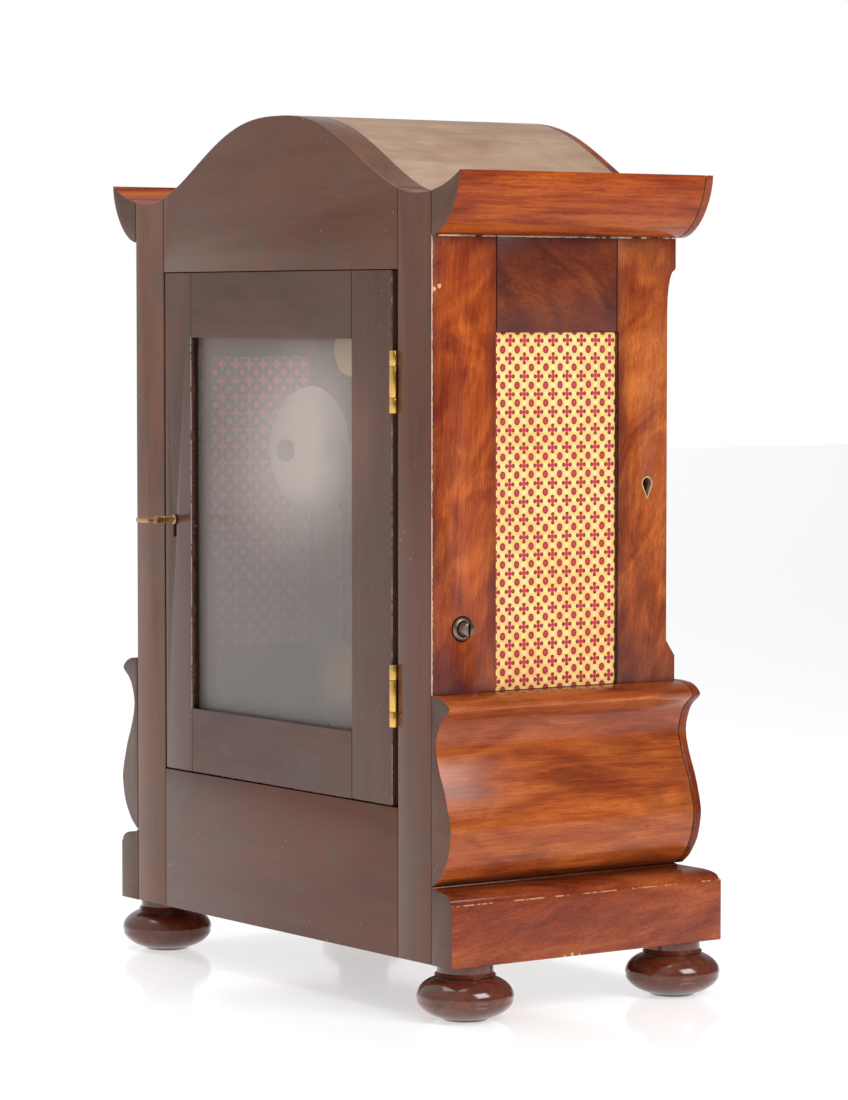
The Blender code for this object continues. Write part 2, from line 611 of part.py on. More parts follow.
# ---- Back door ------------------------------------------------------------------------------------
def build_back_door():
    """Inset glazed door, its butt hinges, box lock, bolt and key."""
    play = GAP
    lip, back = LIP_T, DOOR_T
    lock_stile = blocks("back_door_lock_stile", [
        (SIGHT_LEFT, DOOR_LEFT, 0, lip, DOOR_LOW, DOOR_HIGH),
        (SIGHT_LEFT + REBATE, DOOR_LEFT, 0, back, DOOR_LOW, DOOR_HIGH)], "mahogany_back",
        cuts=[(DOOR_LEFT - LOCK_W, DOOR_LEFT + play, back - LOCK_T, back + play,
               KEY_Z - LOCK_H / 2 - play, KEY_Z + LOCK_H / 2 + play)])
    slot = blocks("guide_back_keyhole", [
        (KEY_X - KEYHOLE_W / 2, KEY_X + KEYHOLE_W / 2, -1 * MM, back, KEY_Z - KEYHOLE_H + KEYHOLE_W,
         KEY_Z)], "steel")
    round_hole = rod("guide_key_round", KEY_R + 2 * GAP, (KEY_X, 0, KEY_Z), "depth", -1 * MM, back,
                     "steel", 24)
    cut(lock_stile, round_hole, slot)
    hinge_stile = blocks("back_door_hinge_stile", [
        (DOOR_RIGHT, SIGHT_RIGHT, 0, lip, DOOR_LOW, DOOR_HIGH),
        (DOOR_RIGHT, SIGHT_RIGHT - REBATE, 0, back, DOOR_LOW, DOOR_HIGH)], "mahogany_back")
    rails = []
    for word, low, high, inner_low, inner_high in (
            ("top", SIGHT_HIGH, DOOR_HIGH, SIGHT_HIGH + REBATE, DOOR_HIGH),
            ("bottom", DOOR_LOW, SIGHT_LOW, DOOR_LOW, SIGHT_LOW - REBATE)):
        front_run = (SIGHT_RIGHT + play, SIGHT_LEFT - play)
        back_run = (SIGHT_RIGHT - REBATE + play, SIGHT_LEFT + REBATE - play)
        rails.append(blocks(f"back_door_{word}_rail", [
            (*front_run, 0, lip, low, high),
            (*front_run, 0, back, inner_low, inner_high),
            (*back_run, lip + play, back, inner_low, inner_high)], "mahogany_back"))
    glass = blocks("back_door_glass", [
        (SIGHT_RIGHT - REBATE + play, SIGHT_LEFT + REBATE - play, lip + play, lip + play + GLASS_T,
         SIGHT_LOW - REBATE + play, SIGHT_HIGH + REBATE - play)], "glass")

    lock_right = DOOR_LEFT - LOCK_W + play
    lock = blocks("back_lock_case", [
        (lock_right, DOOR_LEFT, back - LOCK_T + play, back, KEY_Z - LOCK_H / 2, KEY_Z + LOCK_H / 2)],
        "brass", cuts=[
            (lock_right + 1.5 * MM, DOOR_LEFT + play, back - LOCK_T, back - LOCK_T + BOLT_T + play,
             KEY_Z - BOLT_H / 2 - play, KEY_Z + BOLT_H / 2 + play)])
    key_hole_lock = rod("guide_lock_hole", KEY_R + GAP, (KEY_X, 0, KEY_Z), "depth",
                        back - LOCK_T - 1 * MM, back - 1 * MM, "steel", 16)
    cut(lock, key_hole_lock)
    bolt = blocks("back_lock_bolt", [
        (KEY_X + KEY_R + 1 * MM, DOOR_LEFT - 0.2 * MM, back - LOCK_T + play,
         back - LOCK_T + BOLT_T, KEY_Z - BOLT_H / 2, KEY_Z + BOLT_H / 2)], "brass")

    hinge_pieces = []
    for word, centre in (("upper", DOOR_HIGH - HINGE_INSET), ("lower", DOOR_LOW + HINGE_INSET)):
        hinge_pieces.append(build_hinge(word, centre))

    key = build_key()
    swing = (HINGE_X, y_at(-HINGE_OUT), DOOR_LOW)
    mount_on("pivot_back_door", swing, lock_stile, hinge_stile, *rails, glass, lock, bolt, *hinge_pieces)
    mount_on("pivot_key", (KEY_X, y_at(0), KEY_Z), key)


def build_hinge(word, centre):
    """Butt hinge: the case leaf carries the pin and the outer knuckles; returns the door leaf."""
    quarter = HINGE_L / 4
    axis = (HINGE_X, -HINGE_OUT, centre)
    leaf_near, leaf_far = KNUCKLE_R - HINGE_OUT + 0.5 * MM, DOOR_T - 2 * MM
    case_x = (-POST_X + GAP, -POST_X + GAP + LEAF_T)
    door_x = (DOOR_RIGHT - GAP - LEAF_T, DOOR_RIGHT - GAP)
    tab_gap = 0.2 * MM
    half = HINGE_L / 2
    case_leaf = blocks(f"back_hinge_{word}_case_leaf", [
        (*case_x, leaf_near, leaf_far, centre - half, centre + half),
        (*case_x, -HINGE_OUT, leaf_far, centre - half, centre - quarter - tab_gap),
        (*case_x, -HINGE_OUT, leaf_far, centre + quarter + tab_gap, centre + half)], "brass")
    barrel = turned(f"guide_{word}_case_barrel", [
        (0, -half), (KNUCKLE_R, -half), (KNUCKLE_R, -quarter - tab_gap), (HINGE_PIN_R, -quarter - tab_gap),
        (HINGE_PIN_R, quarter + tab_gap), (KNUCKLE_R, quarter + tab_gap), (KNUCKLE_R, half), (0, half)],
        axis, "z", "brass", 16)
    fuse(case_leaf, barrel)
    bore_r = HINGE_PIN_R + 0.15 * MM
    leaf = blocks(f"back_hinge_{word}_door_leaf", [
        (*door_x, leaf_near, leaf_far, centre - half, centre + half),
        (*door_x, -HINGE_OUT, leaf_far, centre - quarter, centre + quarter)], "brass")
    middle = turned(f"guide_{word}_door_knuckle", [
        (bore_r, -quarter), (KNUCKLE_R, -quarter), (KNUCKLE_R, quarter), (bore_r, quarter),
        (bore_r, -quarter)], axis, "z", "brass", 16)
    fuse(leaf, middle)
    return leaf


def build_key():
    """Key at a quarter turn: the bow lies level."""
    shank = turned("key", [
        (0, -KEY_REACH + BOW_W * 0.55), (KEY_R, -KEY_REACH + BOW_W * 0.55),
        (KEY_R, -1.5 * MM), (KEY_R * 1.35, -1.2 * MM), (KEY_R * 1.35, -0.4 * MM), (KEY_R, -0.1 * MM),
        (KEY_R, DOOR_T - LOCK_T + BOLT_T), (0, DOOR_T - LOCK_T + BOLT_T)],
        (KEY_X, 0, KEY_Z), "depth", "brass", 16)
    outer_d, outer_x = BOW_W * 0.31, BOW_W / 2
    centre_d = -KEY_REACH + outer_d
    ring = []
    for radius_d, radius_x in ((outer_d, outer_x), (outer_d - BOW_BAR, outer_x - BOW_BAR)):
        ring.append([(KEY_X + radius_x * math.cos(2 * math.pi * step / 24),
                      centre_d + radius_d * math.sin(2 * math.pi * step / 24)) for step in range(24)])
    bow = prism("guide_bow", ring[0], "z", KEY_Z - BOW_T / 2, KEY_Z + BOW_T / 2, "brass")
    eye = prism("guide_bow_eye", ring[1], "z", KEY_Z - BOW_T, KEY_Z + BOW_T, "brass")
    fuse(shank, bow)
    cut(shank, eye)
    return shank


# ---- Front door, dial and hands -------------------------------------------------------------------
def build_front():
    """Inset front door on pivots, the mask behind it, the dial, and the side lock."""
    face, back = POST_FACE, POST_FACE - FRONT_DOOR_T
    inner = FRONT_HALF - FRONT_STILE
    low, high = FRONT_LOW + FRONT_STILE, FRONT_HIGH - FRONT_STILE
    step = face - LIP_T
    key_d, key_z = POST_FACE - SIDE_KEY_BACK, BODY_Z + SIDE_KEY_RISE
    frame = blocks("front_door_frame", [
        (-FRONT_HALF, FRONT_HALF, back, face, FRONT_LOW, FRONT_HIGH)], "mahogany_side", cuts=[
        (-inner, inner, back - GAP, face + GAP, low, high),
        (-inner - REBATE, inner + REBATE, back - GAP, step, low - REBATE, high + REBATE),
        (-FRONT_HALF - GAP, -FRONT_HALF + BOLT_THROW, key_d - SIDE_BOLT_W / 2 - 2 * GAP,
         key_d + SIDE_BOLT_W / 2 + 2 * GAP, key_z - SIDE_BOLT_H / 2 - 2 * GAP,
         key_z + SIDE_BOLT_H / 2 + 2 * GAP)])
    glass = blocks("front_door_glass", [
        (-inner - REBATE + GAP, inner + REBATE - GAP, step - GAP - GLASS_T, step - GAP,
         low - REBATE + GAP, high + REBATE - GAP)], "glass")
    pivot = (FRONT_HALF - PIVOT_IN, y_at(face - PIVOT_BACK), FRONT_LOW)
    mount_on("pivot_front_door", pivot, frame, glass)

    mask_back = MASK_FRONT - MASK_T
    mask = blocks("dial_mask", [(-POST_X + GAP, POST_X - GAP, mask_back, MASK_FRONT, BODY_Z + GAP,
                                 CORNICE_Z - CAPITAL_BLOCK_H)], "mahogany_side")
    dial = turned("dial", [(0, MASK_FRONT + GAP), (DIAL_R, MASK_FRONT + GAP),
                           (DIAL_R, MASK_FRONT + GAP + DIAL_T * 0.6),
                           (DIAL_R - DIAL_T * 0.6, MASK_FRONT + GAP + DIAL_T),
                           (0, MASK_FRONT + GAP + DIAL_T)], (0, 0, CENTRE_Z), "depth", "enamel", 48)
    for x, z, radius, word in ((0, CENTRE_Z, ARBOR_R + 2.5 * MM, "centre"),
                               (WIND_X, WIND_Z, WIND_HOLE_R, "left"),
                               (-WIND_X, WIND_Z, WIND_HOLE_R, "right")):
        hole = rod(f"guide_dial_hole_{word}", radius, (x, 0, z), "depth", mask_back - 5 * MM,
                   MASK_FRONT + 10 * MM, "steel", 16)
        cut(mask, hole)
        cut(dial, hole)

    bolt_left = -POST_X - GAP
    bolt = blocks("side_lock_bolt", [
        (bolt_left - SIDE_BOLT_L, bolt_left, key_d - SIDE_BOLT_W / 2, key_d + SIDE_BOLT_W / 2,
         key_z - SIDE_BOLT_H / 2, key_z + SIDE_BOLT_H / 2)], "steel")
    mount_on("pivot_side_bolt", (bolt_left, y_at(key_d), key_z), bolt)
    liner = prism("side_keyhole_liner", teardrop(key_d, key_z, SIDE_KEY_R + LINER_T), "x",
                  -HALF, -HALF + LINER_L - GAP, "brass")
    cut(liner, prism("guide_liner_hole", teardrop(key_d, key_z, SIDE_KEY_R), "x",
                     -HALF - 1 * MM, -HALF + LINER_L + 1 * MM, "steel"))


def hand_outline(length, width, tail):
    """Spade hand pointing up from the arbor: (x, z) offsets from the centre."""
    half = width / 2
    right = [(half * 0.6, -tail), (half * 0.5, length * 0.55), (half * 1.9, length * 0.66),
             (half * 1.2, length * 0.76), (half * 0.35, length * 0.82), (0, length)]
    return right + [(-x, z) for x, z in right[-2::-1]]


def build_hands():
    """Hour and minute hands with their pipes, and the centre arbor that carries the minute hand."""
    dial_face = MASK_FRONT + GAP + DIAL_T
    hour_d = dial_face + HAND_STEP
    minute_d = hour_d + HAND_T + HAND_STEP
    pipe_r = ARBOR_R + 1.4 * MM
    bore_r = ARBOR_R + SHAFT_PLAY
    hour_start = FRONT_PLATE_D + 2 * MM

    # ten past ten
    minute_turn = math.radians(60)
    hour_turn = math.radians(305)

    def hand(name, length, width, low, turn):
        points = []
        for x, z in hand_outline(length, width, length * 0.12):
            points.append((x * math.cos(turn) + z * math.sin(turn),
                           CENTRE_Z - x * math.sin(turn) + z * math.cos(turn)))
        return prism(name, points, "depth", low, low + HAND_T, "steel")

    hour_hand = hand("hour_hand", HOUR_L, 6 * MM, hour_d, hour_turn)
    pipe = turned("guide_hour_pipe", [
        (0, hour_start), (pipe_r, hour_start), (pipe_r, hour_d + HAND_T * 0.5), (pipe_r + 1.5 * MM,
         hour_d + HAND_T * 0.5), (pipe_r + 1.5 * MM, hour_d + HAND_T + 0.4 * MM),
        (0, hour_d + HAND_T + 0.4 * MM)], (0, 0, CENTRE_Z), "depth", "steel", 24)
    wheel = rod("guide_hour_wheel", 12 * MM, (0, 0, CENTRE_Z), "depth", hour_start, hour_start + 1.5 * MM,
                "brass", 32)
    pipe_bore = rod("guide_hour_bore", bore_r, (0, 0, CENTRE_Z), "depth", hour_start - 1 * MM,
                    minute_d + 1 * MM, "steel", 24)
    fuse(hour_hand, pipe, wheel)
    cut(hour_hand, pipe_bore)

    minute_hand = hand("minute_hand", MINUTE_L, 5 * MM, minute_d, minute_turn)
    boss = turned("guide_minute_boss", [
        (0, minute_d - 0.3 * MM), (3.2 * MM, minute_d - 0.3 * MM), (3.2 * MM, minute_d + HAND_T + 0.5 * MM),
        (1.2 * MM, minute_d + HAND_T + 1.8 * MM), (0, minute_d + HAND_T + 1.8 * MM)],
        (0, 0, CENTRE_Z), "depth", "brass", 24)
    arbor_back = BACK_PLATE_D - PLATE_T
    wheel_d = BACK_PLATE_D + 8 * MM
    arbor = turned("guide_centre_arbor", [
        (0, arbor_back), (ARBOR_R, arbor_back), (ARBOR_R, wheel_d), (CENTRE_WHEEL_R, wheel_d),
        (CENTRE_WHEEL_R, wheel_d + 2 * MM), (ARBOR_R, wheel_d + 2 * MM),
        (ARBOR_R, minute_d), (0, minute_d)], (0, 0, CENTRE_Z), "depth", "brass", 24)
    fuse(minute_hand, boss, arbor)
    centre = (0, y_at(MASK_FRONT), CENTRE_Z)
    mount_on("pivot_minute", centre, minute_hand)
    mount_on("pivot_hour", centre, hour_hand)


# ---- Movement -------------------------------------------------------------------------------------
def build_movement():
    """Plates and pillars, spring barrels, bell with its standard, hammer and pendulum."""
    low, high = CENTRE_Z - PLATE_BOTTOM, CENTRE_Z + PLATE_TOP
    half = PLATE_W / 2
    front_back = FRONT_PLATE_D - PLATE_T
    back_back = BACK_PLATE_D - PLATE_T
    back_plate = blocks("movement_back_plate", [(-half, half, back_back, BACK_PLATE_D, low, high)],
                        "brass")
    front_plate = blocks("movement_front_plate", [(-half, half, front_back, FRONT_PLATE_D, low, high)],
                         "brass")
    mask_back = MASK_FRONT - MASK_T
    corners = [(sx * (half - PILLAR_IN), z) for sx in (-1, 1) for z in (low + PILLAR_IN, high - PILLAR_IN)]
    for index, (x, z) in enumerate(corners):
        fuse(back_plate, rod(f"guide_pillar_{index}", PILLAR_R, (x, 0, z), "depth",
                             BACK_PLATE_D - 1 * MM, front_back - GAP, "brass", 12))
        fuse(front_plate, rod(f"guide_dial_foot_{index}", PILLAR_R * 0.7, (x, 0, z), "depth",
                              FRONT_PLATE_D - 1 * MM, mask_back - GAP, "brass", 12))
    for x, z, radius, word in ((0, CENTRE_Z, ARBOR_R, "centre"), (WIND_X, WIND_Z, WIND_R, "left"),
                               (-WIND_X, WIND_Z, WIND_R, "right")):
        bore = rod(f"guide_plate_bore_{word}", radius + SHAFT_PLAY, (x, 0, z), "depth",
                   back_back - 5 * MM, FRONT_PLATE_D + 5 * MM, "steel", 16)
        cut(back_plate, bore)
        cut(front_plate, bore)

    barrel_low = BACK_PLATE_D + 4 * MM
    for x, word in ((WIND_X, "strike_barrel"), (-WIND_X, "going_barrel")):
        drum = turned(word, [
            (0, back_back), (WIND_R, back_back), (WIND_R, barrel_low), (BARREL_R, barrel_low),
            (BARREL_R, barrel_low + BARREL_L), (BARREL_WHEEL_R, barrel_low + BARREL_L),
            (BARREL_WHEEL_R, barrel_low + BARREL_L + BARREL_WHEEL_T),
            (WIND_R, barrel_low + BARREL_L + BARREL_WHEEL_T), (WIND_R, MASK_FRONT + DIAL_T + 1.5 * MM),
            (0, MASK_FRONT + DIAL_T + 1.5 * MM)], (x, 0, WIND_Z), "depth", "brass", 24)
        mount_on(f"pivot_{word}", (x, y_at(barrel_low), WIND_Z), drum)

    build_bell(back_back)
    build_hammer(back_plate, back_back)
    build_pendulum(back_plate, back_back)


def build_bell(plate_face):
    """Shallow cast bell, mouth towards the movement, on a standard with a nut at the back."""
    wall_r = BELL_R - BELL_WALL
    outer, inner = [], []
    for step in range(9):
        angle = math.pi / 2 * step / 8
        outer.append((BELL_R * math.sin(angle) ** 0.8, BELL_RIM_D - BELL_DEPTH * math.cos(angle)))
        inner.append((wall_r * math.sin(angle) ** 0.8,
                      BELL_RIM_D - (BELL_DEPTH - BELL_WALL) * math.cos(angle)))
    hole_r = BELL_POST_R + GAP
    outer[0] = (hole_r, outer[0][1])
    inner[0] = (hole_r, inner[0][1])
    turned("bell", outer + inner[::-1] + [outer[0]], (BELL_X, 0, BELL_Z), "depth", "bell_metal", 32)
    crown_d = BELL_RIM_D - BELL_DEPTH
    collar = crown_d + BELL_WALL + GAP
    turned("bell_standard", [
        (0, crown_d - NUT_T), (NUT_R, crown_d - NUT_T), (NUT_R, crown_d - GAP), (BELL_POST_R, crown_d - GAP),
        (BELL_POST_R, collar), (BELL_POST_R * 1.6, collar), (BELL_POST_R * 1.6, collar + 3 * MM),
        (BELL_POST_R, collar + 3 * MM), (BELL_POST_R, plate_face - GAP), (0, plate_face - GAP)],
        (BELL_X, 0, BELL_Z), "depth", "steel", 12)


def build_hammer(back_plate, plate_face):
    """Hammer beside the bell's rim; its arbor turns in the back plate."""
    pivot_x, pivot_z = BELL_X - HAMMER_DX, BELL_Z - HAMMER_DROP
    head_x = BELL_X - BELL_R - HAMMER_CLEAR - HAMMER_HEAD_L
    arm_d = BELL_RIM_D - 3 * MM
    hammer = blocks("bell_hammer", [
        (pivot_x - 1.5 * MM, pivot_x + 1.5 * MM, arm_d - 1.5 * MM, arm_d + 1.5 * MM, pivot_z, BELL_Z)],
        "steel")
    head = rod("guide_hammer_head", HAMMER_HEAD_R, (0, arm_d, BELL_Z), "x", head_x,
               head_x + HAMMER_HEAD_L, "brass", 16)
    arbor = turned("guide_hammer_arbor", [
        (0, arm_d - 3 * MM), (3 * MM, arm_d - 3 * MM), (3 * MM, arm_d + 3 * MM), (ARBOR_R, arm_d + 3 * MM),
        (ARBOR_R, plate_face + PLATE_T), (0, plate_face + PLATE_T)],
        (pivot_x, 0, pivot_z), "depth", "steel", 16)
    fuse(hammer, head, arbor)
    cut(back_plate, rod("guide_hammer_bore", ARBOR_R + SHAFT_PLAY, (pivot_x, 0, pivot_z), "depth",
                        plate_face - 5 * MM, plate_face + PLATE_T + 5 * MM, "steel", 16))
    mount_on("pivot_hammer", (pivot_x, y_at(arm_d), pivot_z), hammer)


def build_pendulum(back_plate, plate_face):
    """Suspension cock on the back plate, and the rod with its bob, rating nut and crutch."""
    cock = blocks("guide_cock", [
        (-7 * MM, 7 * MM, plate_face + 1 * MM, plate_face + PLATE_T, CENTRE_Z + PLATE_TOP - 6 * MM,
         PIVOT_Z + 9 * MM),
        (-7 * MM, 7 * MM, ROD_D - 4 * MM, plate_face + PLATE_T, PIVOT_Z + 5 * MM, PIVOT_Z + 9 * MM)],
        "brass")
    fuse(back_plate, cock)
    bob_z = PIVOT_Z - PENDULUM_L
    pendulum = turned("pendulum_rod", [
        (0, bob_z - BOB_R - 8 * MM), (3 * MM, bob_z - BOB_R - 8 * MM), (3 * MM, bob_z - BOB_R - 4 * MM),
        (ROD_R, bob_z - BOB_R - 4 * MM), (ROD_R, PIVOT_Z - 6 * MM), (2.4 * MM, PIVOT_Z - 6 * MM),
        (2.4 * MM, PIVOT_Z + 3 * MM), (0, PIVOT_Z + 3 * MM)], (0, ROD_D, 0), "z", "steel", 12)
    bob = turned("pendulum_bob", [
        (0, -BOB_T / 2), (BOB_R * 0.55, -BOB_T * 0.44), (BOB_R * 0.88, -BOB_T * 0.25),
        (BOB_R, -BOB_T * 0.06), (BOB_R, BOB_T * 0.06), (BOB_R * 0.88, BOB_T * 0.25),
        (BOB_R * 0.55, BOB_T * 0.44), (0, BOB_T / 2)], (0, ROD_D, bob_z), "depth", "brass", 32)
    cut(bob, rod("guide_bob_bore", ROD_R + GAP, (0, ROD_D, 0), "z", bob_z - BOB_R - 2 * MM,
                 bob_z + BOB_R + 2 * MM, "steel", 12))
    arbor_z = PIVOT_Z - 2 * MM
    crutch = blocks("crutch", [
        (-1.2 * MM, 1.2 * MM, ROD_D + 5 * MM, ROD_D + 7 * MM, arbor_z - CRUTCH_L, arbor_z),
        (-4 * MM, 4 * MM, ROD_D + 4 * MM, ROD_D + 7 * MM, arbor_z - CRUTCH_L - 3 * MM, arbor_z - CRUTCH_L),
        (-4 * MM, -2.2 * MM, ROD_D - 3 * MM, ROD_D + 7 * MM, arbor_z - CRUTCH_L - 3 * MM,
         arbor_z - CRUTCH_L),
        (2.2 * MM, 4 * MM, ROD_D - 3 * MM, ROD_D + 7 * MM, arbor_z - CRUTCH_L - 3 * MM,
         arbor_z - CRUTCH_L),
        (-1.2 * MM, 1.2 * MM, ROD_D + 5 * MM, plate_face - 1 * MM, arbor_z - 2.4 * MM, arbor_z)],
        "steel")
    mount_on("pivot_pendulum", (0, y_at(ROD_D), PIVOT_Z), pendulum, bob, crutch)


# ---- Side stud ------------------------------------------------------------------------------------
def build_stud():
    """Sprung stud through the back right post, in a steel bush."""
    stud_z = BODY_Z + STUD_RISE
    place = (0, STUD_D, stud_z)
    low, high = -HALF - BUSH_OUT, -HALF + BUSH_L - GAP
    bore = STUD_R + GAP
    turned("stud_bush", [(bore, low), (BUSH_R * 0.8, low), (BUSH_R, -HALF - GAP / 2), (BUSH_R, high),
                         (bore, high), (bore, low)], place, "x", "steel", 24)
    tip = -HALF - STUD_OUT
    stud = turned("repeat_stud", [
        (0, tip), (STUD_R - 0.6 * MM, tip), (STUD_R, tip + 0.6 * MM), (STUD_R, tip + STUD_L),
        (0, tip + STUD_L)], place, "x", "steel", 20)
    cut(stud, blocks("guide_stud_slot", [
        (tip - 1 * MM, tip + 1.6 * MM, STUD_D - 0.6 * MM, STUD_D + 0.6 * MM, stud_z - 2 * STUD_R,
         stud_z + 2 * STUD_R)], "steel"))
    mount_on("pivot_stud", (tip, y_at(STUD_D), stud_z), stud)


for leftover in list(bpy.data.objects):
    bpy.data.objects.remove(leftover)

build_posts()
build_back_and_sides()
build_mouldings()
build_roof_and_feet()
build_back_door()
build_front()
build_hands()
build_movement()
build_stud()
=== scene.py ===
"""Looks of the mahogany mantel clock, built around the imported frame.

Every wooden board, moulding, fitting and movement piece is dressed here: finer shapes with eased
edges, and finishes with grain, polish, wear and tarnish. Lengths are in metres, and patterns are
worked out from real sizes in millimetres.
"""

import logging
import math
from dataclasses import dataclass, field
from enum import Enum
from typing import Callable, Sequence

import bmesh
import bpy
from mathutils import Matrix, Vector


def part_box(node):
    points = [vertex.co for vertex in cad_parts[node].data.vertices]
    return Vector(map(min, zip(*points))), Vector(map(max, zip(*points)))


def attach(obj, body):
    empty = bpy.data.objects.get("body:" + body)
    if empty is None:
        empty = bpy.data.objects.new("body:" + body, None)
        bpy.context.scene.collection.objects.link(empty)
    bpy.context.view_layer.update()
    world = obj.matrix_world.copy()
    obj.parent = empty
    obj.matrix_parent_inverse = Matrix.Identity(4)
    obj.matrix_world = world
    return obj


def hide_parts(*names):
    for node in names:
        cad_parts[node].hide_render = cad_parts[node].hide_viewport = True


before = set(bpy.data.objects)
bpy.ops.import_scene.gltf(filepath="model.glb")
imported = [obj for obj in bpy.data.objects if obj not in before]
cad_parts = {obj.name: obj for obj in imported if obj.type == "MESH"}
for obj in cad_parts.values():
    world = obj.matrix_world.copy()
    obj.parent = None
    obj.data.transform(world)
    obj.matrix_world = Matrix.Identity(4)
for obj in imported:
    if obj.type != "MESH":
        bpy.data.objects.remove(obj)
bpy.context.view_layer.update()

log = logging.getLogger("clock")
MM = 0.001
BACK_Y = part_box("back_gable")[1].y
FRONT_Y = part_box("front_post_left")[0].y
SIDE_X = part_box("back_post_left")[1].x

Socket = bpy.types.NodeSocket


# ---- Shaders --------------------------------------------------------------------------------------
def linear(hex_colour: str) -> tuple[float, float, float, float]:
    """Turn an sRGB hex colour into the linear values a socket takes.

    Args:
        hex_colour: Six hex digits, such as "a3481c".

    Returns:
        Red, green, blue and an alpha of 1.
    """
    parts = [int(hex_colour[i:i + 2], 16) / 255 for i in (0, 2, 4)]
    red, green, blue = [p / 12.92 if p <= 0.04045 else ((p + 0.055) / 1.055) ** 2.4 for p in parts]
    return red, green, blue, 1.0


class Recipe:
    """A material under construction: a thin wrapper around one node tree."""

    def __init__(self, name: str) -> None:
        """Start a material with its Principled shader in place.

        Args:
            name: The material's name.
        """
        self.material = bpy.data.materials.new(name)
        self.material.use_nodes = True
        self.tree = self.material.node_tree
        self.shader = self.tree.nodes["Principled BSDF"]

    @classmethod
    def over(cls, tree: bpy.types.NodeTree) -> "Recipe":
        """Wrap a node tree that exists already, such as the world's."""
        recipe = cls.__new__(cls)
        recipe.tree = tree
        return recipe

    def add(self, kind: str, inputs: dict | None = None, output: int | str = 0, **settings) -> Socket:
        """Add a node with its settings and links.

        Args:
            kind: The node's type name without its "ShaderNode" prefix.
            inputs: Socket index or name to a value or to another node's output.
            output: Which output to return.
            **settings: Attributes to set on the node.

        Returns:
            The node's chosen output socket.
        """
        node = self.tree.nodes.new("ShaderNode" + kind)
        for key, value in settings.items():
            setattr(node, key, value)
        for key, value in (inputs or {}).items():
            if isinstance(value, bpy.types.NodeSocket):
                self.tree.links.new(value, node.inputs[key])
            else:
                node.inputs[key].default_value = value
        return node.outputs[output]

    def math(self, operation: str, *values, clamp: bool = False) -> Socket:
        """Add a Math node over sockets or numbers and return its result."""
        return self.add("Math", dict(enumerate(values)), operation=operation, use_clamp=clamp)

    def ramp(self, factor: Socket, stops: Sequence[tuple[float, str]]) -> Socket:
        """Map a factor through colour stops.

        Args:
            factor: The value to map.
            stops: (position, hex colour) pairs in rising order.

        Returns:
            The ramp's colour.
        """
        node = self.tree.nodes.new("ShaderNodeValToRGB")
        elements = node.color_ramp.elements
        while len(elements) < len(stops):
            elements.new(0.5)
        for element, (position, colour) in zip(elements, stops):
            element.position = position
            element.color = linear(colour)
        self.tree.links.new(factor, node.inputs[0])
        return node.outputs[0]

    def step(self, value: Socket, low: float, high: float) -> Socket:
        """Smoothly map a value from 0 at low to 1 at high."""
        return self.add("MapRange", {0: value, 1: low, 2: high}, interpolation_type="SMOOTHSTEP")

    def mix(self, factor, first, second, blend: str = "MIX") -> Socket:
        """Mix two colours, given as sockets or hex strings."""
        values = {0: factor}
        for key, colour in ((6, first), (7, second)):
            values[key] = linear(colour) if isinstance(colour, str) else colour
        return self.add("Mix", values, output=2, data_type="RGBA", blend_type=blend)

    def noise(self, vector: Socket, detail: float = 3.0, roughness: float = 0.5,
              distortion: float = 0.0) -> Socket:
        """Noise over a vector that is already scaled."""
        return self.add("TexNoise", {"Vector": vector, "Scale": 1.0, "Detail": detail,
                                     "Roughness": roughness, "Distortion": distortion})

    def stretched(self, vector: Socket, sizes: Sequence[float]) -> Socket:
        """Scale a vector so that one pattern unit spans the given millimetres on each axis."""
        scale = tuple(1 / (size * MM) for size in sizes)
        return self.add("VectorMath", {0: vector, 1: scale}, operation="MULTIPLY")

    def axes(self, vector: Socket) -> bpy.types.NodeOutputs:
        """Split a vector into its X, Y and Z."""
        return self.add("SeparateXYZ", {0: vector}).node.outputs

    def bump(self, strength: float, depth: float, height: Socket) -> Socket:
        """Tilt the surface by a height field of the given depth in metres."""
        return self.add("Bump", {"Strength": strength, "Distance": depth, "Height": height})

    def connect(self, **links) -> bpy.types.Material:
        """Link or set the shader's sockets, with underscores for spaces in their names.

        Returns:
            The finished material.
        """
        for key, value in links.items():
            socket = self.shader.inputs[key.replace("_", " ")]
            if isinstance(value, bpy.types.NodeSocket):
                self.tree.links.new(value, socket)
            else:
                socket.default_value = value
        return self.material


class Grain(Enum):
    """Direction the wood's fibres run in, as the turn that lays X along them."""

    ACROSS = (0.0, 0.0, 0.0)
    DEEP = (0.0, 0.0, math.pi / 2)
    UPRIGHT = (0.0, math.pi / 2, 0.0)


@dataclass(frozen=True)
class Polish:
    """Surface of a polished board: roughness, its spread, and the strength of the pores' relief."""

    roughness: float
    spread: float
    relief: float
    coat: float = 0.0
    index: float = 1.5


FRENCH_POLISH = Polish(roughness=0.20, spread=0.10, relief=0.05, index=1.38)
RUBBED = Polish(roughness=0.26, spread=0.10, relief=0.05, index=1.27)
SHADED_POLISH = Polish(roughness=0.17, spread=0.08, relief=0.02, index=1.43)
DUSTY = Polish(roughness=0.50, spread=0.15, relief=0.06)
WAXED = Polish(roughness=0.16, spread=0.12, relief=0.04, coat=0.4)


@dataclass(frozen=True)
class WornLine:
    """An arris where the polish has worn through to pale ground, drawn where two coordinates meet;
    with a dark tint the same line is a painted shadow, and on the back door's outline a painted
    highlight.

    first and second are (axis, place) pairs in metres; width is the worn strip's half width in
    millimetres, and cover how much of its length is worn.
    """

    first: tuple[int, float]
    second: tuple[int, float]
    width: float = 0.55
    cover: float = 0.6
    span: tuple[int, float, float] | None = None
    tint: str = "e6d3b8"


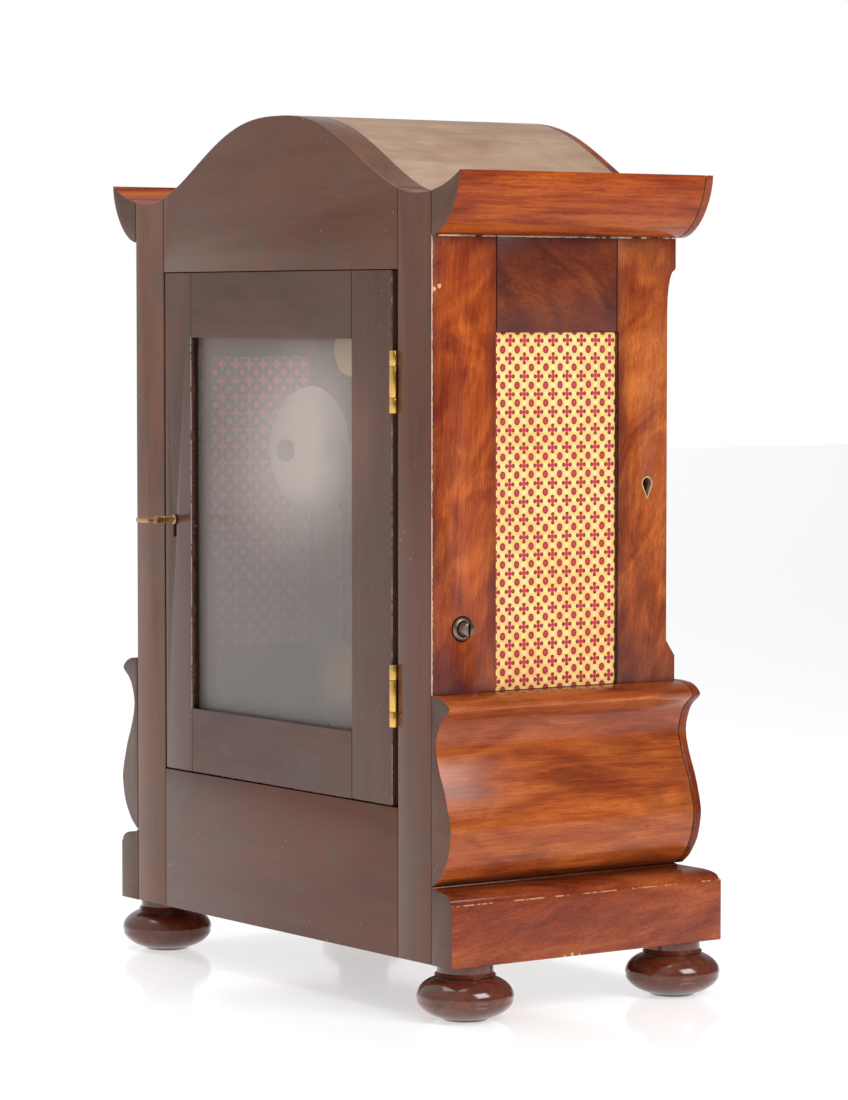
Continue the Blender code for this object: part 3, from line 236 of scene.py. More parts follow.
@dataclass(frozen=True)
class Mahogany:
    """Cuban mahogany, planed and hand finished.

    The eye sees long streaks of darker and lighter fibre, a broad cloudy figure, and short dark
    pores. The corners and crevices are darkened by an occlusion pass, which is gathered old polish
    and painted shade. A board can also be darkened towards its edges, which is partly painted shade.
    """

    name: str
    grain: Grain
    dark: str = "6b2410"
    mid: str = "a4481b"
    light: str = "c66a2a"
    polish: Polish = FRENCH_POLISH
    seed: float = 0.0
    slant: float = 0.0
    sweep: float = 0.0
    cloud: tuple[float, float] = (130.0, 26.0)
    streak: tuple[float, float] = (70.0, 3.2)
    # Corner darkening by occlusion, and how far it reaches: gathered old polish and painted shade.
    grime_and_shade: float = 0.75
    grime_and_shade_reach: float = 7.0
    pores: float = 0.5
    tones: float = 0.12
    worn: tuple[WornLine, ...] = ()
    specks: float = 0.0
    chips: tuple[tuple[float, float, float, float], ...] = ()
    # Darkening towards a board's edges: gathered old polish and painted shade.
    edges: tuple[tuple[int, float, float, float], ...] = ()
    edge_shade_tint: str = "451b1c"
    patch: tuple[float, str] = (0.0, "2a0f08")

    def build(self) -> bpy.types.Material:
        """Make the material.

        Returns:
            The Blender material.
        """
        recipe = Recipe(self.name)
        place = recipe.add("TexCoord", output="Object")
        turn = Vector(self.grain.value)
        laid = recipe.add("Mapping", {"Vector": place, "Rotation": tuple(turn)}, vector_type="POINT")
        offset = (self.seed, self.seed * 0.7, self.seed * 1.3)
        slanted = recipe.add("Mapping", {"Vector": laid, "Location": offset,
                                         "Rotation": (0.0, self.slant, self.slant)})
        swept = recipe.add("Mapping", {"Vector": slanted, "Rotation": (0.0, self.sweep, self.sweep)})
        long_cloud, wide_cloud = self.cloud
        long_streak, wide_streak = self.streak
        cloud = recipe.noise(recipe.stretched(swept, (long_cloud, wide_cloud, wide_cloud)), 2.5, 0.55, 1.2)
        fine = recipe.stretched(slanted, (long_streak, wide_streak, wide_streak))
        streak = recipe.noise(fine, 5.0, 0.62, 0.35)
        fibre = recipe.noise(recipe.stretched(slanted, (12.0, 0.55, 0.55)), 2.0, 0.6)
        figure = recipe.math("MULTIPLY_ADD", cloud, 0.55, recipe.math(
            "MULTIPLY_ADD", streak, 0.24, recipe.math("MULTIPLY", fibre, 0.21)))
        colour = recipe.ramp(figure, [(0.5 - self.tones, self.dark), (0.5, self.mid),
                                      (0.5 + self.tones, self.light)])
        pore_field = recipe.noise(recipe.stretched(slanted, (4.0, 0.38, 0.38)), 1.0, 0.4)
        pore = recipe.step(pore_field, 0.60, 0.68)
        colour = recipe.mix(recipe.math("MULTIPLY", pore, self.pores), colour, self.dark)
        if self.patch[0] > 0:
            blotch = recipe.noise(recipe.stretched(slanted, (60.0, 34.0, 34.0)), 2.0, 0.55, 1.2)
            strength = recipe.math("MULTIPLY", recipe.step(blotch, 0.50, 0.68), self.patch[0])
            colour = recipe.mix(strength, colour, self.patch[1])
        # Occlusion darkens corners and crevices towards near black: gathered old polish, and painted shade
        # where light is kept out.
        if self.grime_and_shade > 0:
            crevice = recipe.add("AmbientOcclusion", {"Distance": self.grime_and_shade_reach * MM}, output="AO",
                                 samples=6)
            crevice_shade = recipe.math("SUBTRACT", 1.0, crevice, clamp=True)
            strength = recipe.math("MULTIPLY", recipe.step(crevice_shade, 0.12, 0.75), self.grime_and_shade)
            colour = recipe.mix(strength, colour, "1d0a06")
        if self.edges:
            colour = self._shade_edges(recipe, place, colour)
        for line in self.worn:
            colour = self._wear(recipe, place, colour, line)
        for chip in self.chips:
            colour = self._chip(recipe, place, colour, chip)
        if self.specks > 0:
            cells = recipe.add("TexVoronoi", {"Vector": recipe.stretched(place, (11.0, 11.0, 11.0)),
                                              "Scale": 1.0, "Randomness": 1.0})
            dot = recipe.math("MULTIPLY", recipe.math("LESS_THAN", cells, 0.035), self.specks)
            colour = recipe.mix(dot, colour, "c9bdb2")
        rub = recipe.noise(recipe.stretched(place, (18.0, 18.0, 18.0)), 3.0, 0.6)
        rough = recipe.math("MULTIPLY_ADD", rub, self.polish.spread,
                            self.polish.roughness - self.polish.spread / 2)
        height = recipe.math("MULTIPLY_ADD", pore, -1.0, recipe.math("MULTIPLY", streak, 0.5))
        bump = recipe.bump(self.polish.relief, 0.4 * MM, height)
        return recipe.connect(Base_Color=colour, Roughness=rough, Normal=bump,
                              IOR=self.polish.index, Coat_Weight=self.polish.coat, Coat_Roughness=0.12)

    def _wear(self, recipe: Recipe, place: Socket, colour: Socket, line: WornLine) -> Socket:
        """Lay a broken line along an edge: pale wear, a painted highlight on the door's outline, and a
        painted shadow where the tint is dark.

        Args:
            recipe: The material being built.
            place: Object coordinates.
            colour: The colour underneath.
            line: Where the edge runs and how worn it is.

        Returns:
            The colour with the wear on it.
        """
        axes = recipe.axes(place)
        away = []
        for axis, at in (line.first, line.second):
            away.append(recipe.math("ABSOLUTE", recipe.math("SUBTRACT", axes[axis], at)))
        distance = recipe.math("MAXIMUM", away[0], away[1])
        ragged = recipe.noise(recipe.stretched(place, (9.0, 9.0, 9.0)), 4.0, 0.7)
        fine = recipe.noise(recipe.stretched(place, (1.6, 1.6, 1.6)), 2.0, 0.6)
        reach = recipe.math("MULTIPLY", recipe.math("ADD", ragged, fine), line.width * MM)
        worn = recipe.math("LESS_THAN", distance, reach)
        limit = 0.78 - 0.5 * line.cover
        broken = recipe.step(ragged, limit - 0.04, limit + 0.04)
        strength = recipe.math("MULTIPLY", worn, broken)
        if line.span:
            axis, low, high = line.span
            inside = recipe.math("MULTIPLY", recipe.math("GREATER_THAN", axes[axis], low),
                                 recipe.math("LESS_THAN", axes[axis], high))
            strength = recipe.math("MULTIPLY", strength, inside)
        return recipe.mix(recipe.math("MULTIPLY", strength, 0.9), colour, line.tint)

    def _chip(self, recipe: Recipe, place: Socket, colour: Socket, chip: tuple[float, ...]) -> Socket:
        """Knock a small ragged flake of polish off.

        Args:
            recipe: The material being built.
            place: Object coordinates.
            colour: The colour underneath.
            chip: Centre x, y and z, and the flake's radius, in metres.

        Returns:
            The colour with the flake on it.
        """
        away = recipe.add("VectorMath", {0: place, 1: chip[:3]}, output="Value", operation="DISTANCE")
        ragged = recipe.noise(recipe.stretched(place, (2.4, 2.4, 1.6)), 3.0, 0.7)
        reach = recipe.math("MULTIPLY", recipe.math("SUBTRACT", ragged, 0.12), chip[3] * 1.5)
        return recipe.mix(recipe.math("LESS_THAN", away, reach), colour, "c79f78")

    def _shade_edges(self, recipe: Recipe, place: Socket, colour: Socket) -> Socket:
        """Darken a board towards the edges of its face: gathered old polish, and painted shade where it meets
        the cornice and the ogee.

        Args:
            recipe: The material being built.
            place: Object coordinates.
            colour: The colour underneath.

        Returns:
            The shaded colour.
        """
        axes = recipe.axes(place)
        worst = None
        for axis, low, high, reach in self.edges:
            near = recipe.math("MINIMUM", recipe.math("SUBTRACT", axes[axis], low),
                               recipe.math("SUBTRACT", high, axes[axis]))
            close = recipe.math("SUBTRACT", 1.0, recipe.math("DIVIDE", near, reach), clamp=True)
            worst = close if worst is None else recipe.math("MAXIMUM", worst, close)
        cloud = recipe.noise(recipe.stretched(place, (26.0, 26.0, 44.0)), 2.0, 0.6, 0.6)
        uneven = recipe.math("MULTIPLY", worst, recipe.math("MULTIPLY_ADD", cloud, 1.8, -0.15), clamp=True)
        return recipe.mix(recipe.math("MULTIPLY", uneven, 0.75), colour, self.edge_shade_tint)


@dataclass(frozen=True)
class Metal:
    """A cast, drawn or turned metal with its handling marks.

    The eye sees fine scratches one way, tarnish in patches and darker metal in the corners.
    """

    name: str
    bright: str
    tarnish: str
    roughness: float = 0.3
    metallic: float = 1.0
    cover: float = 0.5
    scratch: tuple[float, float, float] = (0.25, 8.0, 8.0)

    def build(self) -> bpy.types.Material:
        """Make the material.

        Returns:
            The Blender material.
        """
        recipe = Recipe(self.name)
        place = recipe.add("TexCoord", output="Object")
        patches = recipe.noise(recipe.stretched(place, (7.0, 7.0, 7.0)), 4.0, 0.65)
        low = 0.72 - 0.45 * self.cover
        colour = recipe.mix(recipe.step(patches, low, low + 0.25), self.bright, self.tarnish)
        crevice = recipe.add("AmbientOcclusion", {"Distance": 2.5 * MM}, output="AO", samples=4)
        colour = recipe.mix(recipe.math("SUBTRACT", 1.0, crevice, clamp=True), colour, self.tarnish)
        lines = recipe.noise(recipe.stretched(place, self.scratch), 2.0, 0.6)
        rough = recipe.math("MULTIPLY_ADD", patches, 0.25, self.roughness - 0.1)
        bump = recipe.bump(0.12, 0.05 * MM, lines)
        return recipe.connect(Base_Color=colour, Roughness=rough, Normal=bump, Metallic=self.metallic)


@dataclass(frozen=True)
class DulledBell:
    """Silvered bell metal gone dull: pale on the crown, darker and greyer towards the lip as painted shade.
    """

    name: str
    low: Vector
    high: Vector
    crown: str = "b9aa98"
    lip: str = "6f6862"
    nut: str = "5d544c"

    def build(self) -> bpy.types.Material:
        """Make the material.

        Returns:
            The Blender material.
        """
        recipe = Recipe(self.name)
        place = recipe.add("TexCoord", output="Object")
        middle = (self.low + self.high) / 2
        axes = recipe.axes(place)
        across = recipe.math("SUBTRACT", axes[0], middle.x)
        up = recipe.math("SUBTRACT", axes[2], middle.z)
        up_squared = recipe.math("MULTIPLY", up, up)
        out = recipe.math("SQRT", recipe.math("MULTIPLY_ADD", across, across, up_squared))
        # Darker and greyer towards the lip with a ragged edge: painted shade at the bell's rim.
        rim_shade_noise = recipe.noise(recipe.stretched(place, (16.0, 16.0, 16.0)), 3.0, 0.6)
        reach = recipe.math("MULTIPLY_ADD", rim_shade_noise, 12 * MM, recipe.math("SUBTRACT", out, 6 * MM))
        colour = recipe.mix(recipe.step(reach, 21 * MM, 36 * MM), self.crown, self.lip)
        colour = recipe.mix(recipe.step(out, 5.6 * MM, 6.0 * MM), self.nut, colour)
        return recipe.connect(Base_Color=colour, Roughness=0.75, Metallic=0.1, Specular_IOR_Level=0.1)


@dataclass(frozen=True)
class PrintedCotton:
    """Plain-woven cotton printed with crimson crosses and spots on a warm cream ground.

    The pattern repeats on a square of pitch millimetres and is laid by the cloth's own UV map,
    which holds millimetres.
    """

    name: str = "printed_cotton"
    pitch: float = 9.5
    arm: float = 1.75
    arm_half: float = 0.74
    tip: float = 1.12
    tip_out: float = 2.15
    spot: float = 2.1
    spot_ring: float = 0.66
    ground: tuple[str, str] = ("e9b16a", "eebf79")
    pale: str = "f5d7a0"
    outline: tuple[str, str] = ("43200f", "5e2c20")
    inks: tuple[str, str] = ("b23348", "b5394a")

    def build(self) -> bpy.types.Material:
        """Make the material.

        Returns:
            The Blender material.
        """
        recipe = Recipe(self.name)
        uv = recipe.add("UVMap")
        broad = recipe.add("VectorMath", {0: uv, 1: (0.05, 0.05, 0.05)}, operation="MULTIPLY")
        wander = recipe.noise(broad, 1.0)
        shift = recipe.math("MULTIPLY", recipe.math("SUBTRACT", wander, 0.5), 0.9)
        moved = recipe.add("VectorMath", {0: uv, 1: shift}, operation="ADD")

        def cell(offset_u: float, offset_v: float) -> tuple[Socket, Socket]:
            """Distances in millimetres from the middle of the repeat, on both axes."""
            axes = recipe.axes(moved)
            away = []
            for axis, offset in ((0, offset_u), (1, offset_v)):
                part = recipe.math("FRACT", recipe.math("ADD", recipe.math(
                    "DIVIDE", axes[axis], self.pitch), offset + 100.0))
                away.append(recipe.math("ABSOLUTE", recipe.math("MULTIPLY", recipe.math(
                    "SUBTRACT", part, 0.5), self.pitch)))
            return away[0], away[1]

        def length(a: Socket, b: Socket) -> Socket:
            """Length of the vector (a, b)."""
            return recipe.math("SQRT", recipe.math("ADD", recipe.math("MULTIPLY", a, a),
                                                   recipe.math("MULTIPLY", b, b)))

        def below(value: Socket, edge: float) -> Socket:
            """One inside an edge, falling softly to zero across it, as ink bleeds into thread."""
            return recipe.math("SUBTRACT", 1.0, recipe.step(value, edge - 0.22, edge + 0.22))

        cross_u, cross_v = cell(0.5, 0.5)
        outer = recipe.math("MAXIMUM", cross_u, cross_v)
        inner = recipe.math("MINIMUM", cross_u, cross_v)
        tips = below(length(recipe.math("SUBTRACT", outer, self.tip_out), inner), self.tip)
        arms = recipe.math("MULTIPLY", below(outer, self.arm), below(inner, self.arm_half))
        petals = below(length(recipe.math("SUBTRACT", outer, self.tip_out - 0.1), inner), self.tip - 0.56)
        spot_u, spot_v = cell(0.0, 0.0)
        spot_r = length(recipe.math("MULTIPLY", spot_u, 1.14), spot_v)
        pale = None
        for offsets in ((0.5, 0.0), (0.0, 0.5)):
            pale_r = length(*cell(*offsets))
            here = below(pale_r, 1.5)
            pale = here if pale is None else recipe.math("MAXIMUM", pale, here)
        broader = recipe.add("VectorMath", {0: uv, 1: (0.03, 0.03, 0.03)}, operation="MULTIPLY")
        worn = recipe.noise(broader, 3.0)
        colour = recipe.mix(recipe.step(worn, 0.35, 0.65), *self.ground)
        colour = recipe.mix(recipe.math("MULTIPLY", pale, 0.5), colour, self.pale)
        colour = recipe.mix(tips, colour, self.outline[0])
        colour = recipe.mix(recipe.math("MAXIMUM", arms, petals), colour, self.inks[0])
        colour = recipe.mix(below(spot_r, self.spot), colour, self.outline[1])
        colour = recipe.mix(below(spot_r, self.spot - self.spot_ring), colour, self.inks[1])
        weave = recipe.add("TexWave", {"Vector": uv, "Scale": 0.9, "Distortion": 0.4}, bands_direction="X")
        weft = recipe.add("TexWave", {"Vector": uv, "Scale": 0.9, "Distortion": 0.4}, bands_direction="Y")
        height = recipe.math("ADD", weave, weft)
        bump = recipe.bump(0.25, 0.1 * MM, height)
        return recipe.connect(Base_Color=colour, Roughness=0.9, Normal=bump, Sheen_Weight=0.15,
                              Specular_IOR_Level=0.2)


@dataclass(frozen=True)
class SheetGlass:
    """Old blown sheet glass with a film of dust: it veils what is behind it in grey."""

    name: str
    film: str = "a39a95"
    veil: float = 0.36

    def build(self) -> bpy.types.Material:
        """Make the material.

        Returns:
            The Blender material.
        """
        recipe = Recipe(self.name)
        place = recipe.add("TexCoord", output="Object")
        smear = recipe.noise(recipe.stretched(place, (70.0, 70.0, 110.0)), 3.0, 0.55, 0.8)
        film = recipe.math("MULTIPLY_ADD", smear, 0.20, self.veil - 0.10)
        edge = recipe.add("LayerWeight", {"Blend": 0.15}, output="Fresnel")
        alpha = recipe.math("ADD", film, recipe.math("MULTIPLY", edge, 0.4), clamp=True)
        return recipe.connect(Base_Color=linear(self.film), Roughness=0.06, Alpha=alpha)


@dataclass(frozen=True)
class Enamel:
    """Vitreous enamel fired on copper: glassy, faintly uneven, off white."""

    name: str
    colour: str
    roughness: float = 0.12

    def build(self) -> bpy.types.Material:
        """Make the material.

        Returns:
            The Blender material.
        """
        recipe = Recipe(self.name)
        place = recipe.add("TexCoord", output="Object")
        mottle = recipe.noise(recipe.stretched(place, (30.0, 30.0, 30.0)), 3.0)
        tint = recipe.mix(recipe.math("MULTIPLY", mottle, 0.12), self.colour, "9a8f78")
        bump = recipe.bump(0.05, 0.2 * MM, mottle)
        return recipe.connect(Base_Color=tint, Roughness=self.roughness, Normal=bump, Coat_Weight=0.3)


# ---- Modelling ------------------------------------------------------------------------------------
def settle(name: str, builder: bmesh.types.BMesh, body: str, finishes: Sequence[bpy.types.Material],
           replaces: Sequence[str] = (), sharp: float = 24.0) -> bpy.types.Object:
    """Turn a bmesh into a finished piece that rides on a body.

    Args:
        name: The piece's name.
        builder: The shape; it is freed.
        body: The CAD body the piece moves with.
        finishes: Materials in slot order.
        replaces: CAD nodes the piece stands for.
        sharp: Edges steeper than this many degrees stay crisp.

    Returns:
        The new object.
    """
    mesh = bpy.data.meshes.new(name)
    builder.to_mesh(mesh)
    builder.free()
    for finish in finishes:
        mesh.materials.append(finish)
    piece = bpy.data.objects.new(name, mesh)
    bpy.context.scene.collection.objects.link(piece)
    mesh.shade_smooth()
    mesh.set_sharp_from_angle(angle=math.radians(sharp))
    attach(piece, body)
    if replaces:
        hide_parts(*replaces)
    log.info("%s on %s: %d faces", name, body, len(mesh.polygons))
    return piece


def merged(node: str) -> bmesh.types.BMesh:
    """A CAD node's shape as a clean bmesh: merged, with its flat faces whole again."""
    builder = bmesh.new()
    builder.from_mesh(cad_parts[node].data)
    bmesh.ops.remove_doubles(builder, verts=builder.verts, dist=2e-6)
    bmesh.ops.dissolve_limit(builder, angle_limit=math.radians(0.6), verts=builder.verts,
                             edges=builder.edges)
    return builder


def ease(builder: bmesh.types.BMesh, width: float, segments: int = 3, steeper: float = 32.0,
         where: Callable[[Vector], bool] | None = None) -> bmesh.types.BMesh:
    """Round the edges steeper than an angle.

    Args:
        builder: The shape to change.
        width: Rounding width in metres.
        segments: Faces across the rounding.
        steeper: Edges between faces at more than this many degrees are rounded.
        where: Limits the edges by their midpoint.

    Returns:
        The same bmesh.
    """
    edges = []
    for edge in builder.edges:
        middle = (edge.verts[0].co + edge.verts[1].co) / 2
        if edge.is_manifold and edge.calc_face_angle(0.0) > math.radians(steeper):
            if where is None or where(middle):
                edges.append(edge)
    bmesh.ops.bevel(builder, geom=edges, offset=width, offset_type="OFFSET", segments=segments, profile=0.5,
                    affect="EDGES", clamp_overlap=True, material=-1)
    return builder


def dress(node: str, body: str, finish: bpy.types.Material, width: float, segments: int = 2,
          steeper: float = 32.0, sharp: float = 24.0, name: str = "") -> None:
    """Ease a CAD node's edges and settle it in its own place.

    Args:
        node: The CAD node, which the piece replaces.
        body: The CAD body the piece moves with.
        finish: Its material.
        width: Rounding width in metres.
        segments: Faces across the rounding.
        steeper: Edges between faces at more than this many degrees are rounded.
        sharp: Edges steeper than this many degrees stay crisp.
        name: The piece's name, where it isn't the node's with "_dressed" after it.
    """
    shape = ease(merged(node), width, segments, steeper)
    settle(name or f"{node}_dressed", shape, body, (finish,), (node,), sharp)


def paint_back(builder: bmesh.types.BMesh, slot_index: int = 1) -> bmesh.types.BMesh:
    """Give the faces in the plane of the case's back another material slot."""
    for face in builder.faces:
        if face.normal.y > 0.6 and face.calc_center_median().y > BACK_Y - 1.2 * MM:
            face.material_index = slot_index
    return builder


def resweep(node: str, steps: int = 4, crisp: float = 28.0) -> bmesh.types.BMesh:
    """Redraw a moulding with a finer, fair profile.

    The two end faces give the profile; between crisp corners it is drawn as a smooth curve through
    their points, and the long faces are bridged again from end to end.

    Args:
        node: The CAD moulding.
        steps: Faces between two of its points.
        crisp: Turns steeper than this many degrees stay corners.

    Returns:
        The closed moulding.
    """
    source = bmesh.new()
    source.from_mesh(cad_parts[node].data)
    bmesh.ops.remove_doubles(source, verts=source.verts, dist=2e-6)
    back = [face for face in source.faces if face.normal.y > 0.99]
    cap = bmesh.ops.dissolve_faces(source, faces=back, use_verts=False)["region"][0]
    ends = []
    for vert in cap.verts:
        line = [other.co.y for other in source.verts
                if abs(other.co.x - vert.co.x) < 1e-6 and abs(other.co.z - vert.co.z) < 1e-6]
        ends.append((vert.co.copy(), Vector((vert.co.x, min(line), vert.co.z))))
    source.free()
    count = len(ends)
    near = [pair[0] for pair in ends]
    turns = []
    for index in range(count):
        arriving = near[index] - near[index - 1]
        leaving = near[(index + 1) % count] - near[index]
        turns.append(arriving.angle(leaving, 0.0) > math.radians(crisp))
    builder = bmesh.new()
    loops: list[list[bmesh.types.BMVert]] = [[], []]
    for index in range(count):
        following = (index + 1) % count
        straight = turns[index] and turns[following]
        for part in range(1 if straight else steps):
            t = part / steps
            for side in (0, 1):
                start, end = ends[index][side], ends[following][side]
                before = 2 * start - end if turns[index] else ends[index - 1][side]
                after = 2 * end - start if turns[following] else ends[(index + 2) % count][side]
                square = 2 * before - 5 * start + 4 * end - after
                cube = 3 * start - before - 3 * end + after
                point = 0.5 * (2 * start + (end - before) * t + square * t ** 2 + cube * t ** 3)
                loops[side].append(builder.verts.new(point))
    rings = [[builder.edges.new((loop[i - 1], loop[i])) for i in range(len(loop))] for loop in loops]
    bmesh.ops.bridge_loops(builder, edges=rings[0] + rings[1])
    bmesh.ops.edgeloop_fill(builder, edges=rings[0] + rings[1])
    bmesh.ops.recalc_face_normals(builder, faces=builder.faces)
    return builder


def bar(low: Sequence[float], high: Sequence[float], rounding: float = 0.3 * MM) -> bmesh.types.BMesh:
    """A straight bar between two corners, with eased edges."""
    builder = bmesh.new()
    bmesh.ops.create_cube(builder, size=1.0)
    low_corner, high_corner = Vector(low), Vector(high)
    bmesh.ops.scale(builder, vec=high_corner - low_corner, verts=builder.verts)
    bmesh.ops.translate(builder, vec=(low_corner + high_corner) / 2, verts=builder.verts)
    return ease(builder, rounding, 2)


def paint_inside(builder: bmesh.types.BMesh, slot_index: int = 2) -> bmesh.types.BMesh:
    """Give the faces that look into the case the slot of bare, dusty wood."""
    for face in builder.faces:
        middle = face.calc_center_median()
        if face.normal.x * middle.x < -0.5 * abs(middle.x) or (face.normal.y < -0.5 and middle.y > 0.03):
            face.material_index = slot_index
    return builder


def lathe(profile: Sequence[tuple[float, float]], centre: Vector, axis: Vector,
          steps: int = 48) -> bmesh.types.BMesh:
    """Spin a profile of (radius, distance along the axis) points about an axis.

    Args:
        profile: The outline, starting and ending on the axis or closing on itself.
        centre: The axis's origin.
        axis: The axis's direction.
        steps: Faces round the turn.

    Returns:
        The closed shape, facing outwards.
    """
    builder = bmesh.new()
    outward = Vector((1, 0, 0)) if abs(axis.x) < 0.9 else Vector((0, 1, 0))
    line = [builder.verts.new(centre + outward * radius + axis * along) for radius, along in profile]
    edges = [builder.edges.new(pair) for pair in zip(line, line[1:])]
    bmesh.ops.spin(builder, geom=line + edges, cent=centre, axis=axis, angle=2 * math.pi, steps=steps,
                   use_merge=True)
    bmesh.ops.remove_doubles(builder, verts=builder.verts, dist=1e-6)
    bmesh.ops.recalc_face_normals(builder, faces=builder.faces)
    return builder


def join(*parts: bmesh.types.BMesh) -> bmesh.types.BMesh:
    """Copy several shapes into one; the parts are freed."""
    whole = bmesh.new()
    for part in parts:
        mesh = bpy.data.meshes.new("joined")
        part.to_mesh(mesh)
        part.free()
        whole.from_mesh(mesh)
        bpy.data.meshes.remove(mesh)
    return whole


# ---- Finishes used more than once -----------------------------------------------------------------
@dataclass
class FinishRack:
    """Every finish that several sub-assemblies share, made once."""

    back: bpy.types.Material = field(init=False)
    bare: bpy.types.Material = field(init=False)
    brass: bpy.types.Material = field(init=False)
    plate_brass: bpy.types.Material = field(init=False)
    steel: bpy.types.Material = field(init=False)
    blued: bpy.types.Material = field(init=False)

    def __post_init__(self) -> None:
        """Mix the shared finishes."""
        # The back-face wood: bloomed polish, darker and greyer than the sides as painted shade.
        self.back = shaded_dull_wood("dull_back_edges", Grain.ACROSS, 3.1).build()
        self.bare = Mahogany("bare_inner_wood", Grain.UPRIGHT, "33221b", "48332a", "5a4236", polish=DUSTY,
                             seed=5.5, grime_and_shade=0.3).build()
        self.brass = Metal("aged_brass", "e0b462", "6d4a20", 0.24, cover=0.3).build()
        self.plate_brass = Metal("movement_brass", "b6904f", "6d4d22", 0.34, cover=0.35).build()
        self.steel = Metal("dark_steel", "8a7c70", "3a2c24", 0.36, cover=0.5).build()
        self.blued = Metal("blued_steel", "1c2440", "0d1020", 0.22, cover=0.3).build()


def shaded_dull_wood(name: str, grain: Grain, seed: float, dark: str = "4d3027", mid: str = "5c3a2c",
              light: str = "694534", **more) -> Mahogany:
    """The back's old, bloomed polish over mahogany, darker and greyer than the sides, partly as painted
    shade; each use has its own colours and seed.
    """
    return Mahogany(name, grain, dark, mid, light, polish=SHADED_POLISH, seed=seed, cloud=(220.0, 60.0),
                    streak=(90.0, 7.0), grime_and_shade=0.35, grime_and_shade_reach=2.0, pores=0.10, tones=0.16, specks=0.5,
                    patch=(0.4, "52463a"), **more)


# ---- Case -----------------------------------------------------------------------------------------
@dataclass(frozen=True)
class Board:
    """One polished board: its grain, shades from dark to light, the figure's turns, and its wear."""

    grain: Grain
    shades: tuple[str, str, str]
    slant: float
    sweep: float
    seed: float
    worn: tuple[WornLine, ...] = ()


@dataclass
class Carcase:
    """Posts, rails and boards of the case."""

    rack: FinishRack
    arris: float = 0.7 * MM
    line: float = 0.45 * MM
    side_shade: float = 9 * MM
    end_shade: float = 30 * MM

    def build(self) -> None:
        """Build and dress every board."""
        post_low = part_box("back_post_right")[0]
        side_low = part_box("side_top_rail_right")[0]
        cornice_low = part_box("cornice_right")[0].z
        lip_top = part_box("ogee_moulding_right")[1].z
        corner = WornLine((0, -SIDE_X), (1, BACK_Y), 0.75, 0.85, (2, lip_top, cornice_low))
        rail_joint = WornLine((1, post_low.y), (0, -SIDE_X), 0.3, 0.45, (2, side_low.z, cornice_low))
        under_cornice = WornLine((2, cornice_low), (0, -SIDE_X), 0.6, 0.7)
        cloth_low, cloth_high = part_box("cloth_panel_right")
        # A dark line on the front post's arris beside the cloth: a painted shadow of the cloth's recess.
        front_edge = WornLine((1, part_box("front_post_right")[1].y), (0, -SIDE_X), 0.8, 0.9,
                              (2, cloth_low.z, cloth_high.z), "1c0d08")
        chips = ((-SIDE_X, BACK_Y - 2 * MM, 0.3845, 1.9 * MM), (-SIDE_X, BACK_Y - 5 * MM, 0.386, 2.2 * MM))
        up, deep = Grain.UPRIGHT, Grain.DEEP
        looks = {
            "back_post_right": Board(up, ("6c230f", "96421a", "bb6022"), slant=0.05, sweep=0.55, seed=4.1,
                                     worn=(corner, rail_joint, under_cornice)),
            "back_post_left": Board(up, ("66240f", "964019", "b35c25"), slant=0.04, sweep=-0.3, seed=9.3),
            "front_post_right": Board(up, ("6c2810", "96481d", "b8672d"), slant=0.12, sweep=0.45, seed=5.9,
                                      worn=(front_edge, under_cornice)),
            "front_post_left": Board(up, ("6a230d", "974519", "b86527"), slant=-0.10, sweep=-0.2, seed=2.2),
            "side_top_rail_right": Board(deep, ("3a190d", "662f16", "8a4420"), slant=-0.34, sweep=-0.2,
                                         seed=1.7, worn=(under_cornice,)),
            "side_top_rail_left": Board(deep, ("43180d", "6b2c18", "8a4122"), slant=-0.10, sweep=-0.42,
                                        seed=7.7),
            "front_top_rail": Board(Grain.ACROSS, ("521d0f", "823516", "9f4d20"), slant=0.0, sweep=0.1,
                                    seed=6.1),
        }
        # The back faces get a darker, greyer copy of the posts' mahogany: bloomed polish and painted shade.
        back_shade = {
            "back_post_right": shaded_dull_wood("dull_post_right", Grain.UPRIGHT, 8.0, "523023", "643a29", "724632"),
            "back_post_left": shaded_dull_wood("dull_post_left", Grain.UPRIGHT, 2.6, "5f3d2e", "744a37", "81543f"),
        }
        for node, board in looks.items():
            shape = paint_inside(paint_back(ease(merged(node), self.arris)))
            low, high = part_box(node)
            # Darker towards the board's front and back edges and towards the cornice and the ogee: old polish
            # and painted shade.
            edges = ((1, low.y, high.y, self.side_shade),
                     (2, max(low.z, lip_top), min(high.z, cornice_low), self.end_shade))
            if node == "front_top_rail":
                edges = ()
            face = Mahogany(f"polished_{node}", board.grain, *board.shades, seed=board.seed,
                            slant=board.slant, sweep=board.sweep, worn=board.worn,
                            patch=(0.4, "511a0c"), edges=edges,
                            chips=chips if node == "back_post_right" else ()).build()
            rear = back_shade[node].build() if node in back_shade else self.rack.back
            settle(f"{node}_dressed", shape, "case", (face, rear, self.rack.bare),
                   (node,))
        # The back gable and rail use the same darker back wood: bloomed polish and painted shade.
        for node, seed, shades in (("back_gable", 1.3, ("55311f", "653d29", "734a34")),
                                   ("back_bottom_rail", 5.2, ("4b281a", "5a301f", "683c28"))):
            wood = shaded_dull_wood(f"dull_{node}", Grain.ACROSS, seed, *shades).build()
            dress(node, "case", wood, self.line, 3)
        for side in ("left", "right"):
            dress(f"side_lower_panel_{side}", "case", self.rack.bare, self.line)
        floor = Mahogany("case_floor_wood", Grain.ACROSS, "4d2c1c", "6d4630", "85593e", polish=DUSTY,
                         seed=6.6, grime_and_shade=0.8).build()
        dress("bottom_board", "case", floor, self.line)


